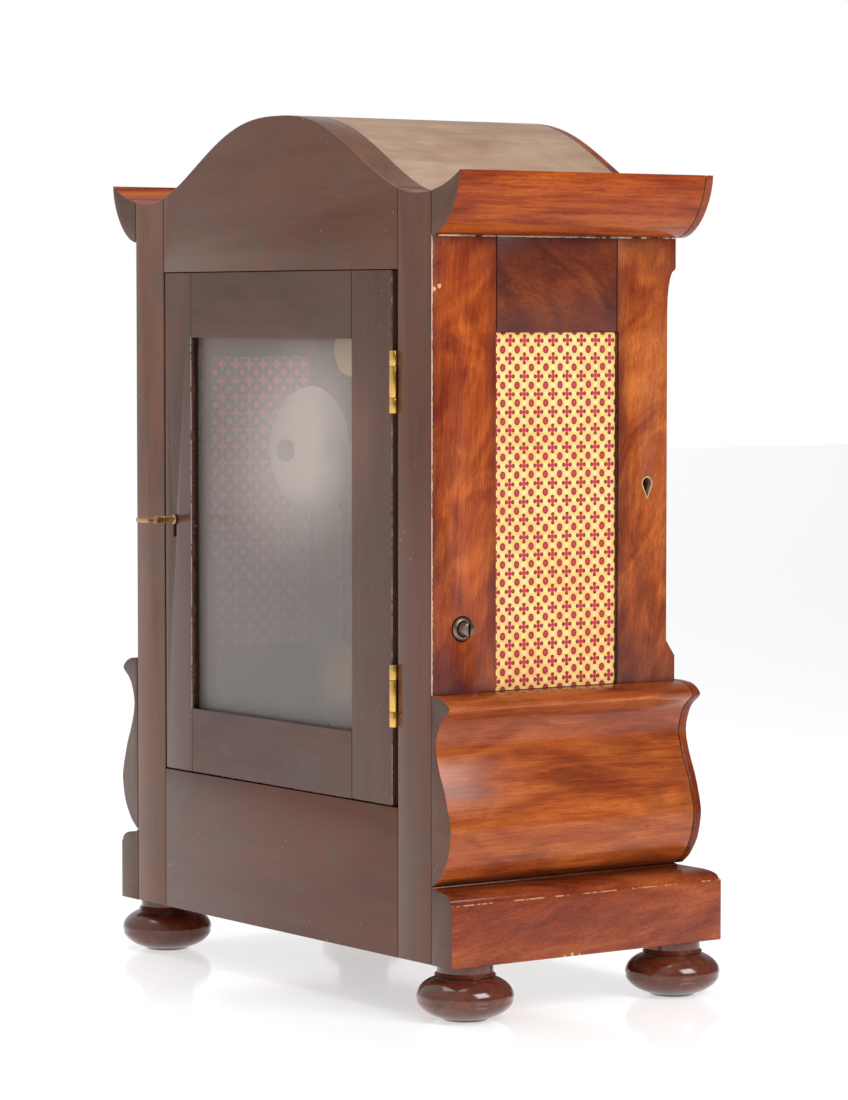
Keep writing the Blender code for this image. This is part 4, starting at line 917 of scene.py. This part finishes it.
@dataclass
class Mouldings:
    """Cornice, ogee base and plinth, with the shaped boards over their front ends."""

    rack: FinishRack
    arris: float = 0.5 * MM
    cap_rise: float = 33 * MM
    swept: tuple[str, ...] = ("cornice", "ogee", "plinth_l", "plinth_r")

    def build(self) -> None:
        """Build and dress the mouldings."""
        cornice_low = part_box("cornice_right")[0].z
        cap_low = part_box("plinth_right")[0]
        cap_z = cap_low.z + self.cap_rise
        plinth_shades = ("5c2110", "86391a", "a05228")
        bruises = tuple((cap_low.x, BACK_Y - along * MM, cap_low.z + up * MM, size * MM)
                        for along, up, size in ((74, 0.4, 1.3), (79, 1.0, 1.9), (84, 0.3, 1.2)))
        for side, sign in (("right", -1), ("left", 1)):
            edge_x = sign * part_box("plinth_left")[1].x
            under = WornLine((2, cornice_low), (0, sign * SIDE_X), 1.0, 0.7)
            cap_edge = WornLine((2, cap_z), (0, edge_x), 0.3, 0.5, tint="b8926c")
            hollow = -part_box("cornice_right")[0].x - 7 * MM
            flakes = tuple((sign * (hollow + out * MM), FRONT_Y + along * MM, cornice_low + up * MM,
                            size * MM)
                           for out, along, up, size in ((-1.1, 7.2, 14.5, 1.7), (-2.6, 1.9, 12.1, 3.0),
                                                        (0.1, 13.5, 16.8, 1.1), (-3.6, 8.0, 10.6, 1.3)))
            self._dress(f"cornice_{side}", Grain.DEEP, ("581b0a", "8b370f", "ae571a"), (under,), 3.3 + sign,
                        cloud=(150.0, 16.0), streak=(60.0, 1.8), polish=RUBBED,
                        chips=flakes if sign < 0 else ())
            self._dress(f"ogee_moulding_{side}", Grain.DEEP, ("762f14", "9c4b1f", "b8652e"), (), 6.4 + sign,
                        cloud=(120.0, 20.0), streak=(36.0, 1.7), patch=(0.35, "54200f"))
            self._dress(f"plinth_{side}", Grain.DEEP, plinth_shades, (cap_edge,), 8.9 + sign,
                        cloud=(120.0, 26.0), streak=(60.0, 3.0), slant=0.15,
                        chips=bruises if sign < 0 else ())
        front_edge = WornLine((2, cap_z), (1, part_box("plinth_front")[0].y), 0.45, 0.35)
        self._dress("plinth_front", Grain.ACROSS, plinth_shades, (front_edge,), 2.8)
        for node, seed, slant in (("base_front_board", 4.7, 0.25), ("front_gable", 7.1, -0.2)):
            self._dress(node, Grain.ACROSS, ("4e1b0c", "7a3315", "964b21"), (), seed, cloud=(110.0, 40.0),
                        slant=slant)

    def _dress(self, node: str, grain: Grain, shades: tuple[str, str, str], worn: tuple[WornLine, ...],
               seed: float, **more) -> None:
        """Ease a moulding's edges and polish it.

        Args:
            node: The CAD node.
            grain: Fibre direction.
            shades: Dark, middle and light hex colours.
            worn: Worn edges.
            seed: Offset into the figure.
            **more: Other Mahogany fields.
        """
        wood = Mahogany(f"polished_{node}", grain, *shades, seed=seed, worn=worn, **more).build()
        shape = resweep(node) if node.startswith(self.swept) else merged(node)
        shape = paint_back(ease(shape, self.arris, 3, 38.0))
        settle(f"{node}_dressed", shape, "case", (wood, self.rack.back), (node,), 30.0)


@dataclass
class Roof:
    """The serpentine roof board under years of dust."""

    def build(self) -> None:
        """Build and dress the roof."""
        wood = Mahogany("dusty_roof", Grain.DEEP, "82654f", "997b64", "ab8f78", polish=DUSTY, seed=3.9,
                        cloud=(90.0, 50.0), streak=(60.0, 6.0), grime_and_shade=0.3, pores=0.1).build()
        dress("roof_board", "case", wood, 0.3 * MM, sharp=30.0)


@dataclass
class BunFeet:
    """Four turned bun feet with a scored line round the widest part."""

    radius: float = 26 * MM
    neck_radius: float = 15 * MM
    neck_height: float = 5 * MM
    score_depth: float = 0.35 * MM
    steps: int = 96

    def build(self) -> None:
        """Build and dress the feet."""
        wood = Mahogany("dark_turned_foot", Grain.ACROSS, "3b1a10", "5f2b1b", "7c4330", polish=WAXED,
                        tones=0.2, cloud=(40.0, 12.0), streak=(26.0, 2.2), grime_and_shade=0.5,
                        grime_and_shade_reach=5.0).build()
        for row in ("back", "front"):
            for side in ("left", "right"):
                node = f"foot_{row}_{side}"
                low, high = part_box(node)
                centre = Vector(((low.x + high.x) / 2, (low.y + high.y) / 2, low.z))
                shape = lathe(self._profile(high.z - low.z), centre, Vector((0, 0, 1)), self.steps)
                settle(f"{node}_turned", shape, "case", (wood,), (node,), 40.0)

    def _profile(self, height: float) -> list[tuple[float, float]]:
        """The foot's outline from the floor to its top.

        Args:
            height: The whole foot's height.

        Returns:
            (radius, height) points.
        """
        bun = height - self.neck_height
        points = [(0.0, 0.0), (self.radius * 0.46, 0.0)]
        for step in range(25):
            angle = math.radians(-64 + 122 * step / 24)
            reach = self.radius * math.cos(angle) ** 0.8
            if 11 <= step <= 12:
                reach -= self.score_depth
            points.append((reach, bun / 2 * (1 + math.sin(angle))))
        points += [(self.neck_radius + 1.4 * MM, bun * 0.97), (self.neck_radius, bun + 0.8 * MM),
                   (self.neck_radius, height), (0.0, height)]
        return points


@dataclass
class ClothPanels:
    """Printed cotton stretched over the side openings."""

    rack: FinishRack
    pitch: float = 9.5
    sag: float = 0.5 * MM
    first_cross: float = 0.4
    top_cross: float = 4.2
    divisions: tuple[int, int] = (40, 90)
    lining_near: float = 29 * MM
    lining_far: float = 100 * MM
    head_strip: float = 15 * MM
    foot_strip: float = 6 * MM
    seam: float = 0.1 * MM

    def build(self) -> None:
        """Build both cloths."""
        printed = PrintedCotton(pitch=self.pitch).build()
        reverse = PrintedCotton("cotton_reverse", self.pitch, arm=2.3, ground=("5a5f58", "64665e"),
                                pale="6c6c64", outline=("b0606f", "b8606f"),
                                inks=("d4677c", "cc6378")).build()
        for side, sign in (("left", 1), ("right", -1)):
            low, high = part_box(f"cloth_panel_{side}")
            self._stretch(f"side_cloth_{side}", side, sign, low, high, printed, 0.25 * MM,
                          (f"cloth_panel_{side}",))
            post_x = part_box("back_post_left")[0].x - 0.6 * MM
            foot, head = low.z + self.foot_strip, high.z - self.head_strip
            inside = (Vector((sign * post_x, BACK_Y - self.lining_far, foot)),
                      Vector((sign * post_x, BACK_Y - self.lining_near, head)))
            self._stretch(f"side_cloth_lining_{side}", side, sign, *inside, reverse, 0.0, ())
            spans = sorted((sign * (post_x + 1.6 * MM), sign * (post_x + 4.8 * MM)))
            spots = ((low.y, high.y, head, high.z), (low.y, high.y, low.z, foot),
                     (low.y, BACK_Y - self.lining_far, foot + self.seam, head - self.seam))
            frame_bars = [bar((spans[0], y_low, z_low), (spans[1], y_high, z_high))
                          for y_low, y_high, z_low, z_high in spots]
            settle(f"cloth_battens_{side}", join(*frame_bars), "case", (self.rack.bare,))

    def _stretch(self, name: str, side: str, sign: int, low: Vector, high: Vector,
                 cotton: bpy.types.Material, depth: float, stands_for: Sequence[str]) -> None:
        """Lay one cloth in its opening, slightly slack, with the print in register.

        Args:
            name: The cloth's name.
            side: "left" or "right"; not used.
            sign: The side's direction along X.
            low: Lowest corner of the space.
            high: Highest corner of the space.
            cotton: The cloth's finish.
            depth: How far behind the panel's outer face it is held.
            stands_for: CAD nodes it replaces.
        """
        wide, tall = high.y - low.y, high.z - low.z
        outer = high.x if sign > 0 else low.x
        builder = bmesh.new()
        across, up = self.divisions
        bmesh.ops.create_grid(builder, x_segments=across, y_segments=up, size=0.5)
        layer = builder.loops.layers.uv.new("print")
        for vert in builder.verts:
            along, rise = vert.co.x + 0.5, vert.co.y + 0.5
            hollow = math.sin(math.pi * along) * math.sin(math.pi * rise)
            ripple = math.sin(along * 9.0 + 1.3 * math.sin(rise * 7.0)) * math.sin(rise * math.pi)
            inward = self.sag * (0.9 * hollow + 0.35 * ripple)
            vert.co = Vector((outer - sign * (inward + depth), high.y - along * wide, low.z + rise * tall))
        for face in builder.faces:
            for loop in face.loops:
                from_back = (high.y - loop.vert.co.y) / MM
                from_top = (loop.vert.co.z - high.z) / MM
                loop[layer].uv = (from_back - self.first_cross, from_top + self.top_cross)
        bmesh.ops.recalc_face_normals(builder, faces=builder.faces)
        piece = settle(name, builder, "case", (cotton,), stands_for, 60.0)


# ---- Back door ------------------------------------------------------------------------------------
@dataclass
class BackDoor:
    """Inset glazed door with butt hinges, lock and key."""

    rack: FinishRack
    arris: float = 1.1 * MM
    joint: float = 0.3 * MM

    def build(self) -> None:
        """Build and dress the door."""
        shades = {
            "back_door_lock_stile": (Grain.UPRIGHT, 1.1),
            "back_door_hinge_stile": (Grain.UPRIGHT, 6.8),
            "back_door_top_rail": (Grain.ACROSS, 3.4),
            "back_door_bottom_rail": (Grain.ACROSS, 9.9),
        }
        lock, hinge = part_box("back_door_lock_stile"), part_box("back_door_hinge_stile")
        # A pale line on the door's rounded outline at the lock side and foot: a painted highlight where the
        # arris catches the light.
        outer = dict(width=0.4, cover=1.2, tint="a98c84")
        sight = (2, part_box("back_door_bottom_rail")[1].z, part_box("back_door_top_rail")[0].z)
        sight_shadow = dict(width=4.4, cover=3.0, tint="1f130e")
        rebate_y = BACK_Y - 6.4 * MM
        # The door's browns are the back's darker wood: bloomed polish and painted shade.
        low_brown, stile_brown = ("482a1f", "563122", "613b2c"), ("4d3229", "5d3c30", "67463a")
        lines = {
            "back_door_lock_stile": (WornLine((0, lock[1].x), (1, BACK_Y), **outer),
                                     WornLine((2, lock[0].z), (1, BACK_Y), **outer),
                                     WornLine((0, lock[0].x), (1, rebate_y), **sight_shadow),
                                     WornLine((0, lock[0].x), (1, BACK_Y), 0.3, 0.65, sight, "b5a698")),
            "back_door_bottom_rail": (WornLine((2, lock[0].z), (1, BACK_Y), **outer),
                                      WornLine((2, sight[1]), (1, rebate_y), **sight_shadow)),
            "back_door_hinge_stile": (WornLine((0, hinge[0].x), (1, BACK_Y), 0.4, 0.62, tint="c4b5a8"),),
        }
        for node, (grain, seed) in shades.items():
            brown = low_brown if node == "back_door_bottom_rail" else stile_brown
            wood = shaded_dull_wood(f"dull_{node}", grain, seed, *brown, worn=lines.get(node, ())).build()
            shape = ease(merged(node), self.arris, 3, 40.0, self._outside)
            settle(f"{node}_dressed", ease(shape, self.joint, 2, 40.0), "back_door", (wood,),
                   (node,))
        pane = SheetGlass("dusty_back_glass").build()
        dress("back_door_glass", "back_door", pane, 0.2 * MM, 1, name="back_door_pane")
        for body, nodes in (("case", ("back_hinge_upper_case_leaf", "back_hinge_lower_case_leaf")),
                            ("back_door", ("back_hinge_upper_door_leaf", "back_hinge_lower_door_leaf",
                                           "back_lock_case")),
                            ("back_bolt", ("back_lock_bolt",))):
            for node in nodes:
                dress(node, body, self.rack.brass, 0.18 * MM, steeper=50.0, sharp=35.0)
        key_brass = Metal("worn_key_brass", "c79f74", "6a442c", 0.36, cover=0.45).build()
        dress("key", "key", key_brass, 0.25 * MM, steeper=45.0, sharp=35.0)

    @staticmethod
    def _outside(middle: Vector) -> bool:
        """Whether an edge lies on the door's outline, where hands have rounded it."""
        foot, lock_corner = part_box("back_door_lock_stile")
        hinge_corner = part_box("back_door_hinge_stile")[0]
        return (middle.x > lock_corner.x - MM or middle.x < hinge_corner.x + MM
                or middle.z < foot.z + MM)


# ---- Front ----------------------------------------------------------------------------------------
@dataclass
class Front:
    """Front door, mask board, dial and hands."""

    rack: FinishRack

    def build(self) -> None:
        """Build and dress the front."""
        wood = Mahogany("polished_front_door", Grain.UPRIGHT, "66240f", "934018", "b05c25", seed=2.9,
                        patch=(0.3, "4a160a")).build()
        dress("front_door_frame", "front_door", wood, 1.2 * MM, 3, 40.0)
        pane = SheetGlass("front_glass", "a7a49f", 0.05).build()
        dress("front_door_glass", "front_door", pane, 0.2 * MM, 1, name="front_door_pane")
        mask = Mahogany("mask_wood", Grain.ACROSS, "5a1f0e", "8a3715", "a24d20", seed=8.3).build()
        dress("dial_mask", "case", mask, 0.4 * MM)
        mask_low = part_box("dial_mask")[0]
        door_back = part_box("front_door_frame")[1].y
        settle("front_sill", bar((mask_low.x, door_back + 0.6 * MM, mask_low.z - 22 * MM),
                                 (-mask_low.x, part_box("dial_mask")[1].y, mask_low.z - 0.3 * MM)), "case",
               (mask,))
        enamel = Enamel("white_enamel", "f0ede2").build()
        dress("dial", "case", enamel, 0.25 * MM, steeper=50.0, name="dial_plate")
        self._chapters()
        for body in ("hour", "minute"):
            dress(f"{body}_hand", body, self.rack.blued, 0.12 * MM, 1, 50.0, 35.0)

    def _chapters(self) -> None:
        """Fire the hours and minutes into the dial and put a brass bezel round it."""
        low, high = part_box("dial")
        face = Vector(((low.x + high.x) / 2, low.y, (low.z + high.z) / 2))
        facing = Vector((0, -1, 0))
        black = Metal("fired_black", "17130f", "241d18", 0.4, 0.0).build()
        parts = []
        for ring in (45.5, 66.0, 70.4):
            inner, outer = ring * MM, (ring + 0.3) * MM
            section = [(inner, 0), (inner, 0.06 * MM), (outer, 0.06 * MM), (outer, 0)]
            parts.append(lathe(section, face, facing, 180))
        for minute in range(60):
            turn = Matrix.Translation(face) @ Matrix.Rotation(math.radians(6 * minute), 4, "Y")
            half = 0.45 * MM if minute % 5 == 0 else 0.16 * MM
            tick = bmesh.new()
            bmesh.ops.create_cube(tick, size=1.0)
            bmesh.ops.scale(tick, vec=(2 * half, 0.06 * MM, 4.1 * MM), verts=tick.verts)
            bmesh.ops.translate(tick, vec=(0, -0.03 * MM, 68.35 * MM), verts=tick.verts)
            bmesh.ops.transform(tick, matrix=turn, verts=tick.verts)
            parts.append(tick)
        hours = "XII I II III IIII V VI VII VIII IX X XI".split()
        for index, letters in enumerate(hours):
            turn = (Matrix.Translation(face) @ Matrix.Rotation(math.radians(30 * index), 4, "Y")
                    @ Matrix.Translation((0, 0, 55.7 * MM)) @ Matrix.Rotation(math.radians(90), 4, "X"))
            parts.append(self._numeral(letters, 17 * MM, turn))
        settle("dial_chapters", join(*parts), "case", (black,), (), 30.0)
        bezel = lathe([(74.6 * MM, 0), (74.6 * MM, 1.2 * MM), (76.4 * MM, 3.4 * MM), (78.6 * MM, 3.0 * MM),
                       (80 * MM, 0.6 * MM), (80 * MM, 0)], face, facing, 144)
        settle("dial_bezel", ease(bezel, 0.3 * MM, 2, 20.0), "case", (self.rack.brass,), (), 40.0)

    @staticmethod
    def _numeral(letters: str, height: float, turn: Matrix) -> bmesh.types.BMesh:
        """Draw one hour numeral as a thin solid.

        Args:
            letters: The numeral.
            height: Letter size in metres.
            turn: Its place on the dial.

        Returns:
            The numeral's mesh.
        """
        curve = bpy.data.curves.new(f"numeral_{letters}", "FONT")
        curve.body, curve.size, curve.extrude = letters, height, 0.03 * MM
        curve.align_x, curve.align_y, curve.space_character = "CENTER", "CENTER", 0.92
        holder = bpy.data.objects.new(f"numeral_{letters}", curve)
        mesh = bpy.data.meshes.new_from_object(holder)
        bpy.data.objects.remove(holder)
        builder = bmesh.new()
        builder.from_mesh(mesh)
        bpy.data.meshes.remove(mesh)
        bmesh.ops.translate(builder, vec=(0, 0, 0.03 * MM), verts=builder.verts)
        bmesh.ops.transform(builder, matrix=turn, verts=builder.verts)
        return builder


# ---- Movement -------------------------------------------------------------------------------------
@dataclass
class Movement:
    """Brass plates, barrels, bell, hammer and pendulum."""

    rack: FinishRack

    def build(self) -> None:
        """Build and dress the movement."""
        plain = {
            "movement_back_plate": ("case", self.rack.plate_brass, "brass"),
            "movement_front_plate": ("case", self.rack.plate_brass, "brass"),
            "going_barrel": ("going_drum", self.rack.plate_brass, "brass"),
            "strike_barrel": ("strike_drum", self.rack.plate_brass, "brass"),
            "bell_hammer": ("hammer", self.rack.steel, "steel"),
            "bell_standard": ("case", self.rack.steel, "steel"),
            "crutch": ("pendulum", self.rack.steel, "steel"),
            "pendulum_rod": ("pendulum", self.rack.steel, "steel"),
            "pendulum_bob": ("pendulum", self.rack.plate_brass, "brass"),
        }
        for node, (body, finish, slot) in plain.items():
            dress(node, body, finish, 0.25 * MM, steeper=45.0, sharp=35.0)
        self._regulator()
        silvered = DulledBell("silvered_bell", *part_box("bell")).build()
        dress("bell", "case", silvered, 0.3 * MM, steeper=50.0, sharp=35.0)

    def _regulator(self) -> None:
        """Add the round brass plate in front of the pendulum's suspension."""
        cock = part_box("movement_back_plate")
        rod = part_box("pendulum_rod")
        centre = Vector((-17 * MM, cock[1].y + 0.4 * MM, rod[1].z + 6.5 * MM))
        section = [(0, 0), (14.4 * MM, 0), (15 * MM, 0.5 * MM), (14.6 * MM, 1.4 * MM), (0, 1.5 * MM)]
        disc = lathe(section, centre, Vector((0, 1, 0)), 64)
        lacquered = Metal("lacquered_brass", "e2c486", "b39055", 0.5, 0.3, cover=0.2).build()
        settle("suspension_disc", disc, "case", (lacquered,))


# ---- Side fittings --------------------------------------------------------------------------------
@dataclass
class SideFittings:
    """The slotted stud in its bush, and the small keyhole's liner and bolt."""

    rack: FinishRack

    def build(self) -> None:
        """Build and dress the fittings."""
        bone = Metal("worn_liner", "b79a72", "5a4022", 0.5, 0.2, cover=0.5).build()
        steel = self.rack.steel
        dress("stud_bush", "case", steel, 0.35 * MM, 3, 40.0, 35.0)
        dress("repeat_stud", "stud", steel, 0.25 * MM, 2, 45.0, 35.0)
        dress("side_keyhole_liner", "case", bone, 0.2 * MM, 2, 50.0, 35.0)
        dress("side_lock_bolt", "side_bolt", steel, 0.25 * MM, sharp=35.0)


# ---- Studio ---------------------------------------------------------------------------------------
@dataclass
class Studio:
    """White surroundings, bright behind the back and dim beyond the side, with lamps and the camera."""

    eye: tuple[float, float, float] = (-1.87821, 1.31175, 0.37074)
    heading: tuple[float, float, float] = (0.81474, -0.57700, -0.05748)
    lens_over_height: float = 4075.17 / 1100.0
    floor_size: float = 14.0

    def build(self) -> None:
        """Set up the surroundings."""
        scene = bpy.context.scene
        scene.view_settings.view_transform = "Standard"
        self._camera(scene)
        self._world(scene)
        self._floor()
        self._lamp("side_softbox", (-1.5, -0.25, 1.25), (0.0, 0.0, 0.22), 0.9, 24.0)
        self._lamp("low_fill", (-1.6, 0.35, 0.25), (0.0, 0.0, 0.2), 0.5, 3.0, mirrored=False)
        self._lamp("top_softbox", (0.3, 0.2, 1.9), (0.0, 0.0, 0.3), 1.2, 12.0)
        self._lamp("inside_glow", (-0.02, 0.03, 0.405), (0.03, -0.01, 0.2), 0.04, 0.3, mirrored=False)
        self._pencil("through_the_glass", (-1.0, 1.6, 0.75), (0.000, 0.05, 0.290), 4.0, 165.0)

    def _camera(self, scene: bpy.types.Scene) -> None:
        """Place the camera.

        Args:
            scene: The scene whose camera it becomes.
        """
        data = bpy.data.cameras.new("camera")
        data.sensor_fit = "AUTO"
        data.sensor_width = 36.0
        data.lens = self.lens_over_height * 36.0
        camera = bpy.data.objects.new("camera", data)
        camera.location = self.eye
        camera.rotation_euler = Vector(self.heading).to_track_quat("-Z", "Y").to_euler()
        scene.collection.objects.link(camera)
        scene.camera = camera

    def _world(self, scene: bpy.types.Scene) -> None:
        """White where it is seen; elsewhere bright towards the back's surroundings and dim beyond the side.

        Args:
            scene: The scene to give the world to.
        """
        world = bpy.data.worlds.new("studio")
        world.use_nodes = True
        recipe = Recipe.over(world.node_tree)
        bearing = recipe.add("TexCoord", output="Generated")
        toward = recipe.add("VectorMath", {0: bearing, 1: (0.72, 0.69, 0.1)}, output="Value",
                            operation="DOT_PRODUCT")
        glow = recipe.add("MapRange", {0: toward, 1: -0.25, 2: 0.55, 3: 0.16, 4: 0.72})
        seen = recipe.add("LightPath", output="Is Camera Ray")
        strength = recipe.math("MAXIMUM", seen, glow)
        background = world.node_tree.nodes["Background"]
        world.node_tree.links.new(strength, background.inputs["Strength"])
        background.inputs["Color"].default_value = (1.0, 1.0, 1.0, 1.0)
        scene.world = world

    def _floor(self) -> None:
        """A large white floor with a soft gloss, lit a little from within like an acrylic sweep."""
        builder = bmesh.new()
        bmesh.ops.create_grid(builder, x_segments=1, y_segments=1, size=self.floor_size / 2)
        mesh = bpy.data.meshes.new("floor")
        builder.to_mesh(mesh)
        builder.free()
        recipe = Recipe("white_acrylic")
        mesh.materials.append(recipe.connect(
            Base_Color=linear("dcdcde"), Roughness=0.10, IOR=1.85, Emission_Color=linear("ffffff"),
            Emission_Strength=0.55))
        floor = bpy.data.objects.new("floor", mesh)
        bpy.context.scene.collection.objects.link(floor)

    @staticmethod
    def _pencil(name: str, place: Sequence[float], target: Sequence[float], degrees: float,
                power: float) -> None:
        """Aim a narrow soft-edged beam through the back glass.

        Args:
            name: The lamp's name.
            place: Where it stands.
            target: The point it is aimed at.
            degrees: Full width of the cone.
            power: Watts.
        """
        data = bpy.data.lights.new(name, "SPOT")
        data.energy, data.spot_size, data.spot_blend = power, math.radians(degrees), 1.0
        data.shadow_soft_size = 0.02
        lamp = bpy.data.objects.new(name, data)
        lamp.location = place
        lamp.rotation_euler = (Vector(target) - Vector(place)).to_track_quat("-Z", "Y").to_euler()
        lamp.visible_camera = False
        lamp.visible_glossy = False
        bpy.context.scene.collection.objects.link(lamp)

    @staticmethod
    def _lamp(name: str, place: Sequence[float], target: Sequence[float], size: float, power: float,
              mirrored: bool = True) -> None:
        """Add a soft square lamp that the camera can't see.

        Args:
            name: The lamp's name.
            place: Where it hangs.
            target: What it points at.
            size: Side of the square, in metres.
            power: Watts.
            mirrored: Whether glossy surfaces show it.
        """
        data = bpy.data.lights.new(name, "AREA")
        data.size = size
        data.energy = power
        lamp = bpy.data.objects.new(name, data)
        lamp.location = place
        lamp.rotation_euler = (Vector(target) - Vector(place)).to_track_quat("-Z", "Y").to_euler()
        lamp.visible_camera = False
        lamp.visible_glossy = mirrored
        bpy.context.scene.collection.objects.link(lamp)


def main() -> None:
    """Build the clock's looks in order."""
    logging.basicConfig(level=logging.INFO, format="%(name)s: %(message)s")
    Studio().build()
    rack = FinishRack()
    for part in (Carcase(rack), Mouldings(rack), Roof(), BunFeet(), ClothPanels(rack), BackDoor(rack),
                 Front(rack), Movement(rack), SideFittings(rack)):
        part.build()
        log.info("%s done", type(part).__name__)


if __name__ == "__main__":
    main()
